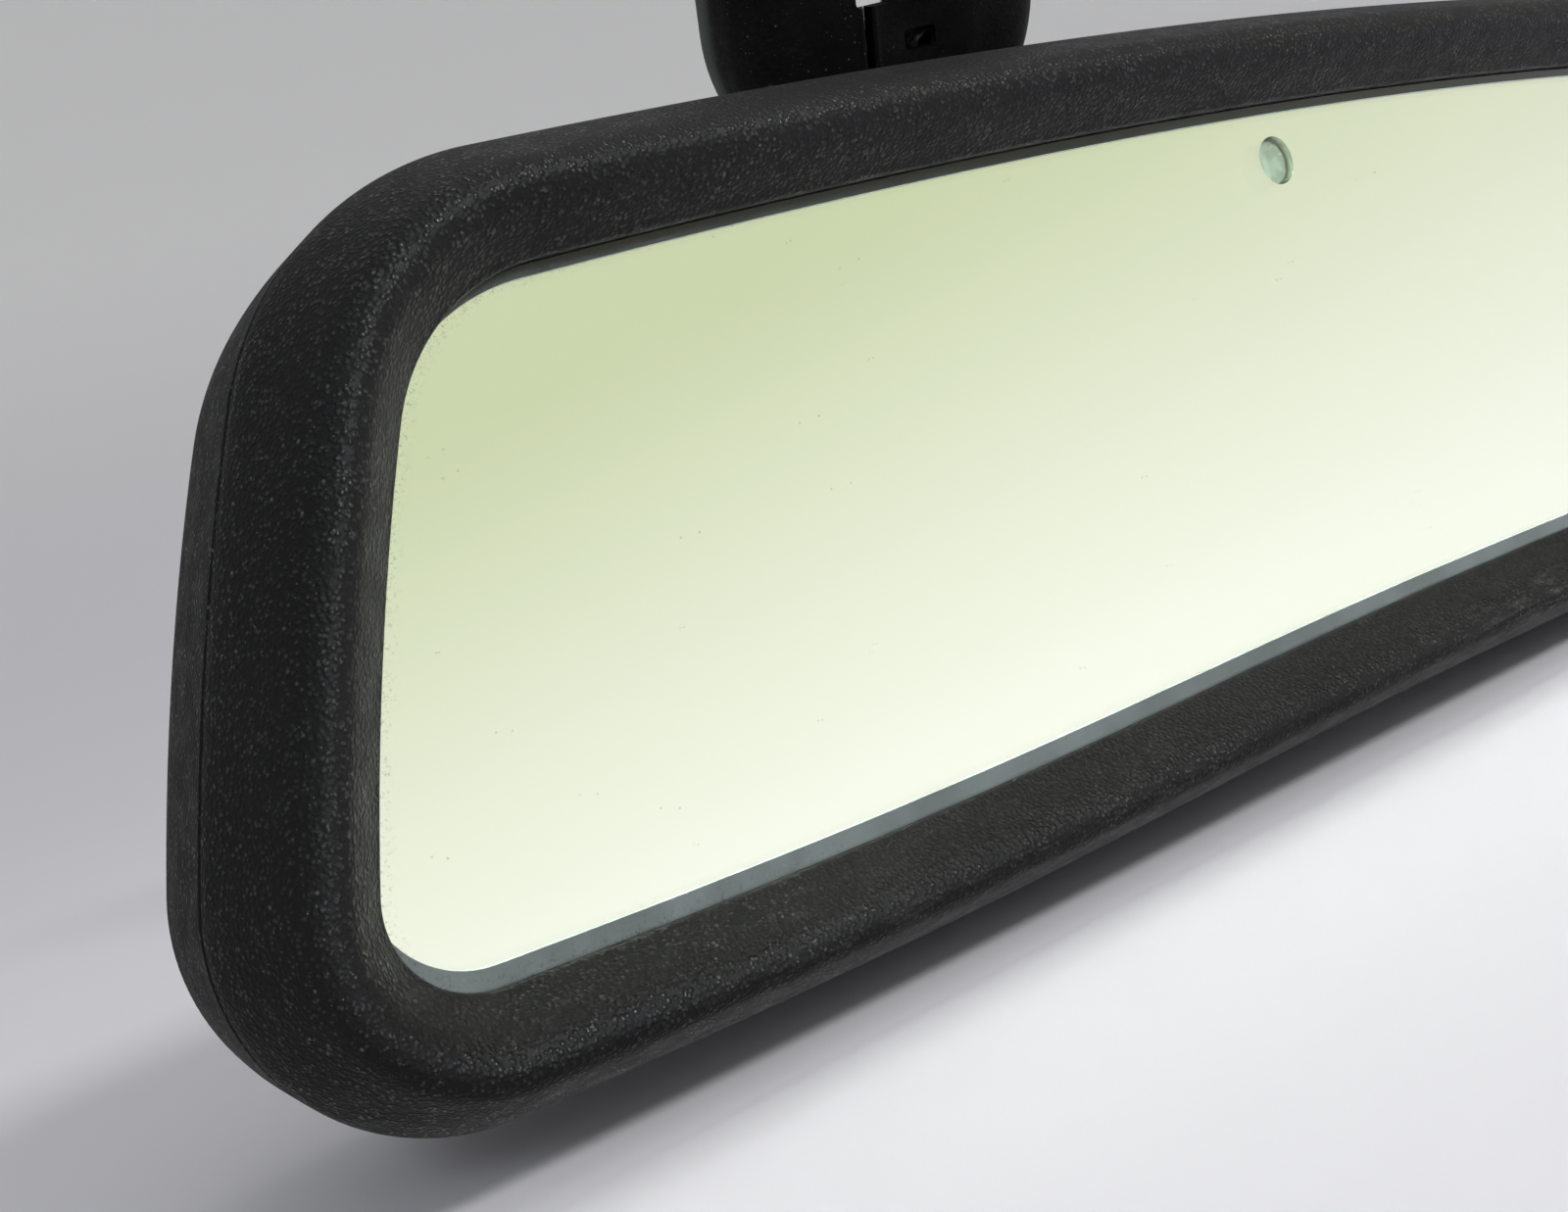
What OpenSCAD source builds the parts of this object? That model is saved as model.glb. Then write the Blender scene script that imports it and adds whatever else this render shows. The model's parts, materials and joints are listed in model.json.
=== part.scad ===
// Auto-dimming interior rearview mirror on a ball-jointed windscreen foot.
// Millimetres, +Z up. The driver looks along +Y at the glass, and X runs along the mirror.
// The origin is the centre of the windscreen socket, the round pocket in the foot that
// takes the button on the windscreen.

/* [Glass opening] */
// Height from the opening's middle line to its top edge, at the centre
open_top = 26.7; // [22:0.1:32]
// Depth from the middle line to the bottom edge, before the central arch
open_bottom = 28; // [22:0.1:32]
// Furthest reach of the curve of the side edge, below the bottom corner
side_reach = 118.9; // [105:0.1:130]
// Height at which the side curve reaches furthest, below the opening
side_reach_height = -82; // [-95:1:-60]
// Radius of the side edge
side_radius = 236; // [180:1:300]
// Radius of the arched top edge
top_radius = 1220; // [900:10:2500]
// Radius of the bottom edge
bottom_radius = 1790; // [1200:10:3000]
// Radius of the top corners
top_corner = 16.3; // [12:0.1:20]
// Radius of the bottom corners
bottom_corner = 7; // [6:0.1:12]
// Rise of the arch in the middle of the bottom edge
arch_rise = 2.2; // [0:0.1:4]
// Half width of the arch
arch_width = 57; // [40:1:80]

/* [Frame] */
// Width of the frame from the opening to its outer wall
frame_w = 10.3; // [9:0.1:13]
// How far the crest of the frame stands in front of the glass
crest_h = 5.5; // [4:0.1:7]
// Wall thickness of the frame and the rear housing
wall = 2.2; // [1.8:0.1:2.4]
// Depth from the glass to the parting line between frame and rear housing
seam_y = 5; // [4:0.1:5]
// Depth from the glass to the back of the rear housing
head_depth = 32; // [31:0.5:34]

/* [Ball joint] */
// Radius of the ball on the stay
ball_r = 9.5; // [9:0.1:9.6]
// Depth of the ball's centre behind the front of the glass
ball_depth = 25; // [25:0.5:26]
// Radius of the neck that leaves the ball
neck_r = 4.2; // [3.5:0.1:4.4]
// Radius of the stay's long limb
limb_r = 5.5; // [5:0.1:6]
// Length of the neck, from the ball's centre to the elbow
neck_length = 27; // [25:0.5:30]
// Droop of the neck below level
neck_droop = 10; // [5:1:12]

/* [Foot] */
// Rake of the windscreen from level, with the head as it stands at rest
screen_rake = 60; // [55:1:65]
// Turn of the foot about the upright axis through the ball
foot_turn = 17; // [0:1:20]
// Level distance from the ball's centre forward to the windscreen socket
ball_back = 44; // [42:0.5:48]
// Height of the windscreen socket above the ball's centre
ball_drop = 92.5; // [90:0.5:98]
// Half width of the foot covers and radius of their round lower end
cover_r = 24.8; // [24:0.1:26]
// Height of the foot covers off the windscreen
cover_h = 16; // [15.5:0.1:18]
// Distance from the windscreen socket down to the centre of the round lower end
cover_drop = 26.3; // [25:0.1:28]
// Distance from the windscreen socket up to the top of the covers
cover_rise = 25; // [23:0.5:30]
// How far the covers and the base sit to the driver's right of the stay
cover_shift = 2.6; // [0:0.1:3]
// Radius of the windscreen socket
socket_r = 14; // [12:0.1:14.5]
// Depth of the windscreen socket
socket_depth = 3.5; // [3:0.1:3.8]

/* [Hidden] */
$fn = 64;

// Where things stand along Y behind the front of the glass
pane = 2.0;
gap = 0.3;
front_y = 0.1;
gap_y = front_y + pane;
rear_y = gap_y + gap;
foam_y = rear_y + pane;
carrier_y = foam_y + 0.8;
carrier_t = 2;
board_y = carrier_y + carrier_t + 1;
board_t = 1.6;
board_back = board_y + board_t;

// Outlines of the head
glass_lap = 2.4;
band_top = 0.8;
band_bottom = 1.9;
arc_steps = [9, 6, 9, 6, 12];

// Ball joint
fit_gap = 0.2;
piece_gap = 0.3;
liner_in = ball_r + fit_gap;
liner_out = liner_in + 1.6;
cap_in = liner_out + piece_gap;
cap_out = cap_in + 0.8;
cup_deep = cap_out + piece_gap;
cup_near = liner_out + piece_gap;
cup_out = cup_deep + 1.8;
cap_reach = 32;
cap_room = 78;
lip_y = 4.6;
post_r = 20;
flange_y = ball_depth - 5;
flange_t = 2;
post_hole_r = 1.3;
post_angles = [45, 135, 225, 315];
board_posts = [[54, 18], [54, -9], [-26, 20]];

// Mouth in the back of the rear housing, and the forward light window
mouth_in = 10.7;
mouth_out = 12.3;
window_at = [48, 8];
window_r = 2.7;

// Places in the head's frame
sensor_at = [1.2, 21.1];
sensor_r = 2.5;
ball_at = [-ball_back * sin(foot_turn), -ball_back * cos(foot_turn), -ball_drop];
head_at = ball_at - [0, ball_depth, 0];

// Places in the foot's frame: x across, y up the windscreen, z into the cabin
ball_up = ball_back * cos(screen_rake) - ball_drop * sin(screen_rake);
ball_out = ball_back * sin(screen_rake) + ball_drop * cos(screen_rake);
neck_dir = [-cos(screen_rake - neck_droop), -sin(screen_rake - neck_droop)];
elbow_up = ball_up + neck_length * neck_dir.x;
elbow_out = ball_out + neck_length * neck_dir.y;
root_up = -36.5;
root_out = 8.8;
root_boss_h = 7;
cover_wall = 1.6;
cover_foot = 5.7;
seal_h = 5.4;
split_x = -2.3;
split_gap = 1.1;
notch_up = -23.6;
notch_size = [9.8, 11, 12];
clip_window = [3.1, -30.5, cover_h - 5];
clip_window_size = [4.7, 2.9, 12];
base_t = 5;
base_r = cover_r - 3.2;
base_rise = cover_rise - 3;
ear_x = 10.5;
ear_up = -33;
ear_r = 3.6;
ear_t = 2.4;
ear_hole_r = 1.6;
pocket_fingers = [90, 210, 330];

// Where two circles of radius r0 and r1 about c0 and c1 meet, on the side that dir points to
function circles_meet(c0, r0, c1, r1, dir) =
    let (d = norm(c1 - c0), a = (r0 * r0 - r1 * r1 + d * d) / (2 * d),
         h = sqrt(max(r0 * r0 - a * a, 0)), u = (c1 - c0) / d, n = [-u.y, u.x],
         p = c0 + a * u + h * n, q = c0 + a * u - h * n)
    p * dir > q * dir ? p : q;

function turn_of(v) = (atan2(v.y, v.x) + 360) % 360;

function arc(c, r, a0, a1, steps) =
    [for (i = [0 : steps - 1]) c + r * [cos(a0 + (a1 - a0) * i / steps), sin(a0 + (a1 - a0) * i / steps)]];

// The bottom edge rises in a smooth arch about the middle
function arched(p) = p.y < 0 ? [p.x, p.y + arch_rise * exp(-pow(p.x / arch_width, 2))] : p;

// Outline of the opening grown by d: five tangent arcs down the left side, then mirrored.
// top and bottom trim the edges of that outline inward without moving the sides.
function outline(d, top = 0, bottom = 0) =
    let (rt = top_radius + d, rs = side_radius + d, rb = bottom_radius + d,
         ct = [0, open_top - top - top_radius], cs = [side_radius - side_reach, side_reach_height],
         cb = [0, bottom + bottom_radius - open_bottom],
         k1 = max(top_corner + d, 1), k2 = max(bottom_corner + d, 1),
         c1 = circles_meet(ct, rt - k1, cs, rs - k1, [-1, 1]),
         c2 = circles_meet(cb, rb - k2, cs, rs - k2, [-1, -1]),
         a1 = turn_of(c1 - ct), a2 = turn_of(c1 - cs), a3 = turn_of(c2 - cs), a4 = turn_of(c2 - cb),
         left = concat(arc(ct, rt, 90, a1, arc_steps[0]), arc(c1, k1, a1, a2, arc_steps[1]),
                       arc(cs, rs, a2, a3, arc_steps[2]), arc(c2, k2, a3, a4, arc_steps[3]),
                       arc(cb, rb, a4, 270, arc_steps[4]), [cb - [0, rb]]),
         right = [for (i = [len(left) - 2 : -1 : 1]) [-left[i].x, left[i].y]])
    [for (p = concat(left, right)) arched(p)];

// A flat plate on the XZ plane: its front at y0, t thick toward +Y
module plate(y0, t) {
    translate([0, y0 + t, 0]) rotate([90, 0, 0]) linear_extrude(t) children();
}

// A peg along Y at [x, z] from y0 to y1
module peg(at, r, y0, y1) {
    translate([at.x, y0, at.y]) rotate([-90, 0, 0]) cylinder(h = y1 - y0, r = r);
}

// Closed ring of loops: quads joined loop to loop, and the last loop to the first
module ring_of(loops) {
    m = len(loops);
    n = len(loops[0]);
    points = [for (loop = loops) for (p = loop) p];
    faces = [for (i = [0 : m - 1]) for (j = [0 : n - 1])
                 let (a = i * n + j, b = i * n + (j + 1) % n,
                      c = ((i + 1) % m) * n + (j + 1) % n, d = ((i + 1) % m) * n + j)
                 each [[a, b, c], [a, c, d]]];
    polyhedron(points, faces);
}

// A loop of the outline grown by d, at depth y
function loop_at(d, y) = [for (p = outline(d)) [p.x, y, p.y]];

// A loop of the housing's crown: m runs from 0 at the shoulder to 1 at the round mouth
function crown_loop(d, y, m, r) =
    let (shoulder = outline(d))
    [for (p = shoulder) let (a = atan2(p.y, p.x), k = 1 - m)
        [p.x * k + r * cos(a) * m, y, p.y * k + r * sin(a) * m]];

module in_head() {
    translate(head_at) children();
}

// Revolved about the Y axis through the ball's centre
module about_ball() {
    translate([0, ball_depth, 0]) rotate([-90, 0, 0]) rotate_extrude() children();
}

// Section of a spherical shell from angle a0 to a1, both from the front pole
function shell_arc(r, a0, a1, steps) =
    [for (i = [0 : steps]) let (a = a0 + (a1 - a0) * i / steps) [r * sin(a), -r * cos(a)]];

module front_bezel() {
    w = frame_w;
    c = crest_h;
    section = [[0, 0], [0, -0.8], [2.0, -c + 2.1], [3.4, -c + 0.5], [4.7, -c], [6.0, -c + 0.7],
               [w - 3.2, -c + 2.4], [w - 1.2, 1.2], [w, seam_y], [w - wall, seam_y],
               [w - wall - 1.1, 0.9], [w - wall - 2.8, -c + 3.6], [4.4, -c + 2.6], [3.2, 0]];
    color("#1d1e20") in_head() ring_of([for (s = section) loop_at(s[0], s[1])]);
}

module rear_housing() {
    back = head_depth;
    w = frame_w;
    // outer wall, shoulder and crown, then the same surface from inside
    outer = concat(
        [for (s = [[0, seam_y + 0.25], [-0.1, 14], [-0.6, 19], [-2.2, 24], [-5.2, 27.4], [-9, 29.3]])
            loop_at(w + s[0], s[1])],
        [for (s = [[0.12, 30.3], [0.34, 31.2], [0.62, 31.8], [0.86, back], [1, back]])
            crown_loop(w - 9, s[1], s[0], s[0] < 1 ? mouth_out + 4 : mouth_out)]);
    inner = concat(
        [for (s = [[1, back - wall], [0.86, back - wall], [0.62, 31.8 - wall], [0.34, 31.2 - wall],
                   [0.12, 30.3 - wall]])
            crown_loop(w - 9 - wall, s[1], s[0], s[0] < 1 ? mouth_out + 2 : mouth_in)],
        [for (s = [[-9, 29.3 - wall], [-5.2, 26.2 - wall / 2], [-2.2, 23.4 - wall / 2], [-0.6, 18.6],
                   [0, seam_y + 0.25]])
            loop_at(w - wall + s[0], s[1])]);
    color("#242528") in_head() difference() {
        ring_of(concat(outer, inner));
        peg(window_at, window_r, 20, 40);
    }
}

module front_glass() {
    color("#dfe9cf", 0.5) in_head() plate(front_y, pane) polygon(outline(glass_lap));
}

module cell_seal() {
    color("#7c8c90") in_head() plate(gap_y, gap) difference() {
        polygon(outline(glass_lap));
        polygon(outline(0.8, band_top + 0.8, band_bottom + 0.8));
    }
}

module rear_mirror_glass() {
    color("#eef4e0") in_head() difference() {
        plate(rear_y, pane) polygon(outline(glass_lap - 0.4));
        peg(sensor_at, sensor_r, rear_y - 1, rear_y + pane + 1);
    }
}

// One long edge clip: an L of thin metal along the glass, clear of the corners
module bus_clip(sign) {
    reach = 78;
    in_head() intersection() {
        union() {
            plate(gap_y + 0.1, carrier_y - gap_y - 0.4) difference() {
                polygon(outline(glass_lap + 0.25));
                polygon(outline(glass_lap));
            }
            plate(foam_y, 0.3) difference() {
                polygon(outline(glass_lap + 0.25));
                polygon(outline(glass_lap - 2.2));
            }
        }
        translate([-reach, 0, sign > 0 ? 10 : -40]) cube([2 * reach, 12, 30]);
    }
}

module upper_bus_clip() {
    color("#b9bcc0") bus_clip(1);
}

module lower_bus_clip() {
    color("#b9bcc0") bus_clip(-1);
}

module foam_pad() {
    color("#4a4c50") in_head() difference() {
        plate(foam_y, 0.8) polygon(outline(-1.6));
        peg(sensor_at, sensor_r + 0.5, 0, 20);
    }
}

module glass_carrier() {
    posts = [for (a = post_angles) post_r * [cos(a), sin(a)]];
    color("#303236") in_head() difference() {
        union() {
            plate(carrier_y, carrier_t) polygon(outline(1.6));
            plate(carrier_y + carrier_t, 2.2) difference() {
                polygon(outline(1.6));
                polygon(outline(0));
            }
            for (p = posts) peg(p, 3.5, carrier_y + 1, flange_y);
            for (p = board_posts) peg(p, 2.4, carrier_y + 1, board_y);
        }
        for (p = posts) peg(p, post_hole_r, flange_y - 9, flange_y + 1);
        for (p = board_posts) peg(p, 0.8, carrier_y + 0.8, board_y + 1);
        peg(sensor_at, sensor_r + 0.5, 0, 20);
    }
}

module circuit_board() {
    color("#1f5a3a") in_head() difference() {
        translate([-31, board_y, -14]) cube([91, board_t, 38]);
        for (a = post_angles) peg(post_r * [cos(a), sin(a)], 4.3, 0, 20);
        for (p = board_posts) peg(p, 1.2, 0, 20);
    }
}

module board_screws() {
    color("#9a9ea3") in_head() for (p = board_posts) {
        peg(p, 0.75, carrier_y + 1.2, board_back);
        peg(p, 2, board_back, board_back + 1.3);
    }
}

module microcontroller() {
    legs = 8;
    color("#15161a") in_head() {
        translate([29, board_back, 2]) cube([9, 1.6, 9]);
        for (i = [0 : legs - 1], side = [-1, 1])
            translate([33.5 + side * 5 - 0.5, board_back, 2.6 + i * 1.05]) cube([1, 0.5, 0.45]);
    }
}

module board_capacitors() {
    color("#2b3550") in_head() for (z = [-7, 1]) peg([-25, z], 3, board_back, board_back + 8);
}

module board_connector() {
    at = [46, board_back, -11];
    color("#e6e1d2") in_head() difference() {
        translate([at.x - 6, at.y, at.z]) cube([12, 7.5, 7]);
        translate([at.x - 5, at.y + 1.5, at.z + 1]) cube([10, 7, 5]);
    }
}

module glare_sensor() {
    color("#0f1013") in_head() translate([sensor_at.x - 1.6, board_y - 1.2, sensor_at.y - 1.6])
        cube([3.2, 1.2, 3.2]);
}

module glare_light_guide() {
    color("#9fb0a6", 0.7) in_head() peg(sensor_at, sensor_r - 0.15, rear_y + 0.4, board_y - 1.2);
}

module forward_sensor() {
    color("#0f1013") in_head() translate([window_at.x - 1.6, board_back, window_at.y - 1.6])
        cube([3.2, 1.2, 3.2]);
}

module forward_light_guide() {
    color("#8f9aa0", 0.7) in_head() peg(window_at, window_r - 0.3, board_back + 1.2, 31);
}

module socket_cup() {
    lip_near = 90 + asin(lip_y / cup_near);
    lip_out = 90 + asin(lip_y / cup_out);
    posts = [for (a = post_angles) post_r * [cos(a), sin(a)]];
    color("#8d9196") in_head() difference() {
        union() {
            about_ball() polygon(concat(shell_arc(cup_out, 0, lip_out, 24), shell_arc(cup_near, lip_near, cap_room, 6),
                                        shell_arc(cup_deep, cap_room, 0, 18)));
            plate(flange_y, flange_t) difference() {
                circle(post_r + 4.2);
                circle(cup_out - 0.9);
            }
        }
        for (p = posts) peg(p, 1.7, flange_y - 1, flange_y + flange_t + 1);
    }
}

module socket_screws() {
    color("#9a9ea3") in_head() for (a = post_angles) {
        peg(post_r * [cos(a), sin(a)], 1.25, flange_y - 7, flange_y + flange_t);
        difference() {
            peg(post_r * [cos(a), sin(a)], 3, flange_y + flange_t, flange_y + flange_t + 2);
            peg(post_r * [cos(a), sin(a)], 1.1, flange_y + flange_t + 0.8, flange_y + flange_t + 3);
        }
    }
}

module socket_liner() {
    lip_in = 90 + asin(lip_y / liner_in);
    lip_out = 90 + asin(lip_y / liner_out);
    color("#d9d6cc") in_head() about_ball()
        polygon(concat(shell_arc(liner_out, 24, lip_out, 20), shell_arc(liner_in, lip_in, 24, 20)));
}

module friction_cap() {
    color("#a7abb0") in_head() about_ball()
        polygon(concat(shell_arc(cap_out, 0, cap_reach, 10), shell_arc(cap_in, cap_reach, 0, 10)));
}

// Foot frame to part frame
module on_screen() {
    rotate([0, 0, -foot_turn]) rotate([180 - screen_rake, 0, 0]) children();
}

// A rod in the foot's middle plane from [up, out] p to q
module rod(p, q, r) {
    translate([0, p.x, p.y]) rotate([-atan2(q.x - p.x, q.y - p.y), 0, 0]) cylinder(h = norm(q - p), r = r);
}

// Outline that the foot's pieces share: a round lower end and a square top
module tongue(r, rise) {
    translate([cover_shift, -cover_drop]) circle(r);
    translate([cover_shift - r, -cover_drop]) square([2 * r, cover_drop + rise]);
}

module stay_arm() {
    ball = [ball_up, ball_out];
    elbow = [elbow_up, elbow_out];
    shoulder = ball + 12 * neck_dir;
    color("#26272a") on_screen() difference() {
        union() {
            translate([0, ball.x, ball.y]) sphere(ball_r, $fn = 96);
            rod(ball, shoulder + 3 * neck_dir, neck_r);
            rod(shoulder, elbow, limb_r);
            translate([0, elbow.x, elbow.y]) sphere(limb_r + 0.6);
            rod([root_up, root_out], elbow, limb_r);
            translate([0, root_up, base_t]) cylinder(h = root_boss_h, r = limb_r + 0.9);
            translate([-ear_x, root_up - 1, base_t]) cube([2 * ear_x, 5.5, ear_t]);
            for (side = [-1, 1]) translate([side * ear_x, ear_up, base_t]) cylinder(h = ear_t, r = ear_r);
        }
        for (side = [-1, 1]) translate([side * ear_x, ear_up, 0]) cylinder(h = 20, r = ear_hole_r + 0.1);
    }
}

module arm_screws() {
    color("#9a9ea3") on_screen() for (side = [-1, 1]) translate([side * ear_x, ear_up, 0]) {
        translate([0, 0, 1]) cylinder(h = base_t + 1.4, r = ear_hole_r - 0.1);
        translate([0, 0, base_t + ear_t]) difference() {
            cylinder(h = 1.8, r = 3);
            translate([0, 0, 0.7]) cylinder(h = 2, r = 1.2);
        }
    }
}

module foot_base() {
    color("#6f7377") on_screen() difference() {
        linear_extrude(base_t) difference() {
            tongue(base_r, base_rise);
            translate([-1, -29]) square([8.4, 10]);
        }
        translate([0, 0, -1]) cylinder(h = 1 + socket_depth, r = socket_r);
        for (a = pocket_fingers) rotate([0, 0, a]) translate([socket_r - 2.6, -3.2, -1]) cube([1.6, 6.4, 12]);
        for (side = [-1, 1]) translate([side * ear_x, ear_up, -1]) cylinder(h = 12, r = ear_hole_r);
        translate([0, 0, -1]) difference() {
            cylinder(h = 2.2, r = socket_r + 3.4);
            cylinder(h = 3, r = socket_r + 1.4);
        }
    }
}

module seat_ring() {
    color("#17181a") on_screen() difference() {
        cylinder(h = 1.2, r = socket_r + 3.4);
        translate([0, 0, -1]) cylinder(h = 4, r = socket_r + 1.4);
    }
}

module foot_seal() {
    color("#3d423f") on_screen() difference() {
        linear_extrude(seal_h) tongue(cover_r, cover_rise);
        translate([0, 0, -1]) linear_extrude(seal_h + 2) tongue(base_r + 0.1, base_rise + 0.1);
    }
}

// Brass spring plate on the base: a ring, three lugs that press on the button's face, and a tail
module retaining_clip() {
    lug_foot = socket_depth + 0.2;
    color("#b08d4a") on_screen() {
        translate([0, 0, base_t]) linear_extrude(0.8) {
            difference() {
                circle(socket_r + 2.5);
                circle(socket_r - 3.5);
            }
            translate([4.5, -30]) square([2.7, 18]);
        }
        for (a = pocket_fingers) rotate([0, 0, a]) translate([socket_r - 2.4, -2.8, lug_foot])
            cube([0.9, 5.6, base_t + 0.3 - lug_foot]);
    }
}

module foot_connector() {
    color("#20242c") on_screen() difference() {
        translate([-7, -6, base_t]) cube([14, 12, 8]);
        translate([-5.8, -7, base_t + 1.2]) cube([11.6, 11, 5.6]);
    }
}

// Half section of the foot covers off the windscreen, inset by t
function cover_section(t) =
    let (r = cover_r - t, h = cover_h - t)
    [[0, h - 0.5], [5, h], [10, h], [14, h - 0.7], [r - 4.3, h - 2.2], [r - 1.6, h - 4.6],
     [r - 0.4, h - 7.6], [r, cover_foot - 2 * t], [0, cover_foot - 2 * t]];

module cover_solid(t) {
    half = cover_section(t);
    rise = cover_rise - t;
    translate([cover_shift, rise, 0]) rotate([90, 0, 0]) linear_extrude(rise + cover_drop) {
        polygon(half);
        mirror([1, 0]) polygon(half);
    }
    translate([cover_shift, -cover_drop, 0]) rotate([0, 0, 180]) rotate_extrude(angle = 180) polygon(half);
}

// Shell of both foot covers with the stay's hole and the notch at the split
module cover_shell() {
    difference() {
        cover_solid(0);
        cover_solid(cover_wall);
        rod([root_up, root_out], [elbow_up, elbow_out], limb_r + 1.8);
        translate([split_x - 1.7, notch_up, cover_h - 6]) cube(notch_size);
    }
}

module foot_cover_left() {
    color("#2a2b2d") on_screen() intersection() {
        cover_shell();
        translate([-40 + split_x - split_gap / 2, -60, 0]) cube([40, 120, 30]);
    }
}

module foot_cover_right() {
    color("#2a2b2d") on_screen() difference() {
        intersection() {
            cover_shell();
            translate([split_x + split_gap / 2, -60, 0]) cube([40, 120, 30]);
        }
        translate(clip_window) cube(clip_window_size);
    }
}

front_bezel();
rear_housing();
front_glass();
cell_seal();
rear_mirror_glass();
upper_bus_clip();
lower_bus_clip();
foam_pad();
glass_carrier();
circuit_board();
board_screws();
microcontroller();
board_capacitors();
board_connector();
glare_sensor();
glare_light_guide();
forward_sensor();
forward_light_guide();
socket_cup();
socket_screws();
socket_liner();
friction_cap();
stay_arm();
arm_screws();
foot_base();
foot_seal();
retaining_clip();
foot_connector();
seat_ring();
foot_cover_left();
foot_cover_right();
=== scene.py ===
"""Studio model of an auto-dimming interior rearview mirror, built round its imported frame."""
import json
import math

import bmesh
import bpy
import numpy as np
from bpy.props import FloatProperty, FloatVectorProperty, IntProperty, PointerProperty
from mathutils import Matrix, Vector

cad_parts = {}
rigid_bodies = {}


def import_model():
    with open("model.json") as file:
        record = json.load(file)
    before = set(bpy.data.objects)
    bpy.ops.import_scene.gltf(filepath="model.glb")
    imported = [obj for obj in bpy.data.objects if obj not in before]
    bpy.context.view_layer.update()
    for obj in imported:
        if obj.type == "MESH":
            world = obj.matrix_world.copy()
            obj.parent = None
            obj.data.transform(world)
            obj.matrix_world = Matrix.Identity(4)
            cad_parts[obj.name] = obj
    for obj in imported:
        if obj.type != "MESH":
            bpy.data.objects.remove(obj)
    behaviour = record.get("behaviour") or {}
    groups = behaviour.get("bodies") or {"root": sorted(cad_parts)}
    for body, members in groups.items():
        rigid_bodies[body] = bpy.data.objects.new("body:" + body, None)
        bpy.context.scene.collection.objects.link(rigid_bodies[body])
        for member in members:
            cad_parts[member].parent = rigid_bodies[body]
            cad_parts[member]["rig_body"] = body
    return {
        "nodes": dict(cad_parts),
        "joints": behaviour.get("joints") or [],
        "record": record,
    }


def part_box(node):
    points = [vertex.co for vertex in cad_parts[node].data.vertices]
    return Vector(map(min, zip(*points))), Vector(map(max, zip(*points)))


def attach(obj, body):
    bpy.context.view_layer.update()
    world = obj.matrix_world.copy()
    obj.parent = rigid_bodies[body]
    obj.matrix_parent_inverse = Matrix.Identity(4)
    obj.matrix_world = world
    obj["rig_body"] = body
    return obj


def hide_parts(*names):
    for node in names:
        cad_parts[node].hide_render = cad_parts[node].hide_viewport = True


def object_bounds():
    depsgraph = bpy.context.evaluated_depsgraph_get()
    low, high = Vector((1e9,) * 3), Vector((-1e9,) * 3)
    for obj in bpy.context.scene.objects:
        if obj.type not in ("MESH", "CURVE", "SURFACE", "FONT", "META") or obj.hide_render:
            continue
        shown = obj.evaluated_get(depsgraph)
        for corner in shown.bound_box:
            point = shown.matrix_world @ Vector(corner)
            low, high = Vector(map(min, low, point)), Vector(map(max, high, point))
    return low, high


bl_info = {
    "name": "Rearview Mirror Studio",
    "version": (1, 0, 0),
    "blender": (4, 5, 0),
    "location": "View3D > Sidebar > Mirror",
    "description": "Builds the visual model of an interior rearview mirror and its studio",
    "category": "Add Mesh",
}

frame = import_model()
CAD_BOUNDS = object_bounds()
MM = 0.001
UP = np.array([0.0, 0.0, 1.0])


# ---------------------------------------------------------------------------
# Settings
# ---------------------------------------------------------------------------

def length(name, text, default, low=0.0):
    """A size in metres, given here in millimetres."""
    return FloatProperty(name=name, description=text, default=default * MM, min=low * MM,
                         unit="LENGTH", subtype="DISTANCE", precision=5)


def colour(name, text, default):
    """A linear RGB colour."""
    return FloatVectorProperty(name=name, description=text, default=default, size=3,
                               min=0.0, max=1.0, subtype="COLOR")


class MirrorFrameSettings(bpy.types.PropertyGroup):
    """Sizes of the frame, the glass opening and the rear housing."""
    open_top: length("Opening top", "Height of the opening above its middle line", 26.7)
    open_bottom: length("Opening bottom", "Depth of the opening below its middle line", 28.0)
    side_reach: length("Side reach", "Furthest reach of the side curve", 118.9)
    side_height: length("Side centre", "Drop of the side curve's centre below the middle", 82.0)
    side_radius: length("Side radius", "Radius of the side edge", 236.0)
    top_radius: length("Top radius", "Radius of the arched top edge", 1220.0)
    bottom_radius: length("Bottom radius", "Radius of the bottom edge", 1790.0)
    top_corner: length("Top corner", "Radius of the top corners", 16.3)
    bottom_corner: length("Bottom corner", "Radius of the bottom corners", 7.0)
    arch_rise: length("Arch rise", "Rise of the arch in the bottom edge", 2.2)
    arch_width: length("Arch width", "Half width of the arch", 57.0)
    frame_width: length("Frame width", "Width of the frame round the opening", 10.3)
    crest: length("Crest", "How far the frame stands in front of the glass", 5.5)
    wall: length("Wall", "Wall thickness of the frame and the housing", 2.2)
    seam: length("Seam", "Depth of the parting line behind the glass front", 5.0)
    seam_gap: length("Seam gap", "Width of the parting line", 0.25)
    depth: length("Depth", "Depth of the housing behind the glass front", 32.0)
    mouth_in: length("Mouth inner", "Inner radius of the round mouth", 10.7)
    mouth_out: length("Mouth outer", "Outer radius of the round mouth", 12.3)
    window_x: length("Window across", "Place of the forward light window across the head", 48.0)
    window_z: length("Window height", "Height of the forward light window", 8.0)
    window_radius: length("Window radius", "Radius of the forward light window", 2.7)


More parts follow.
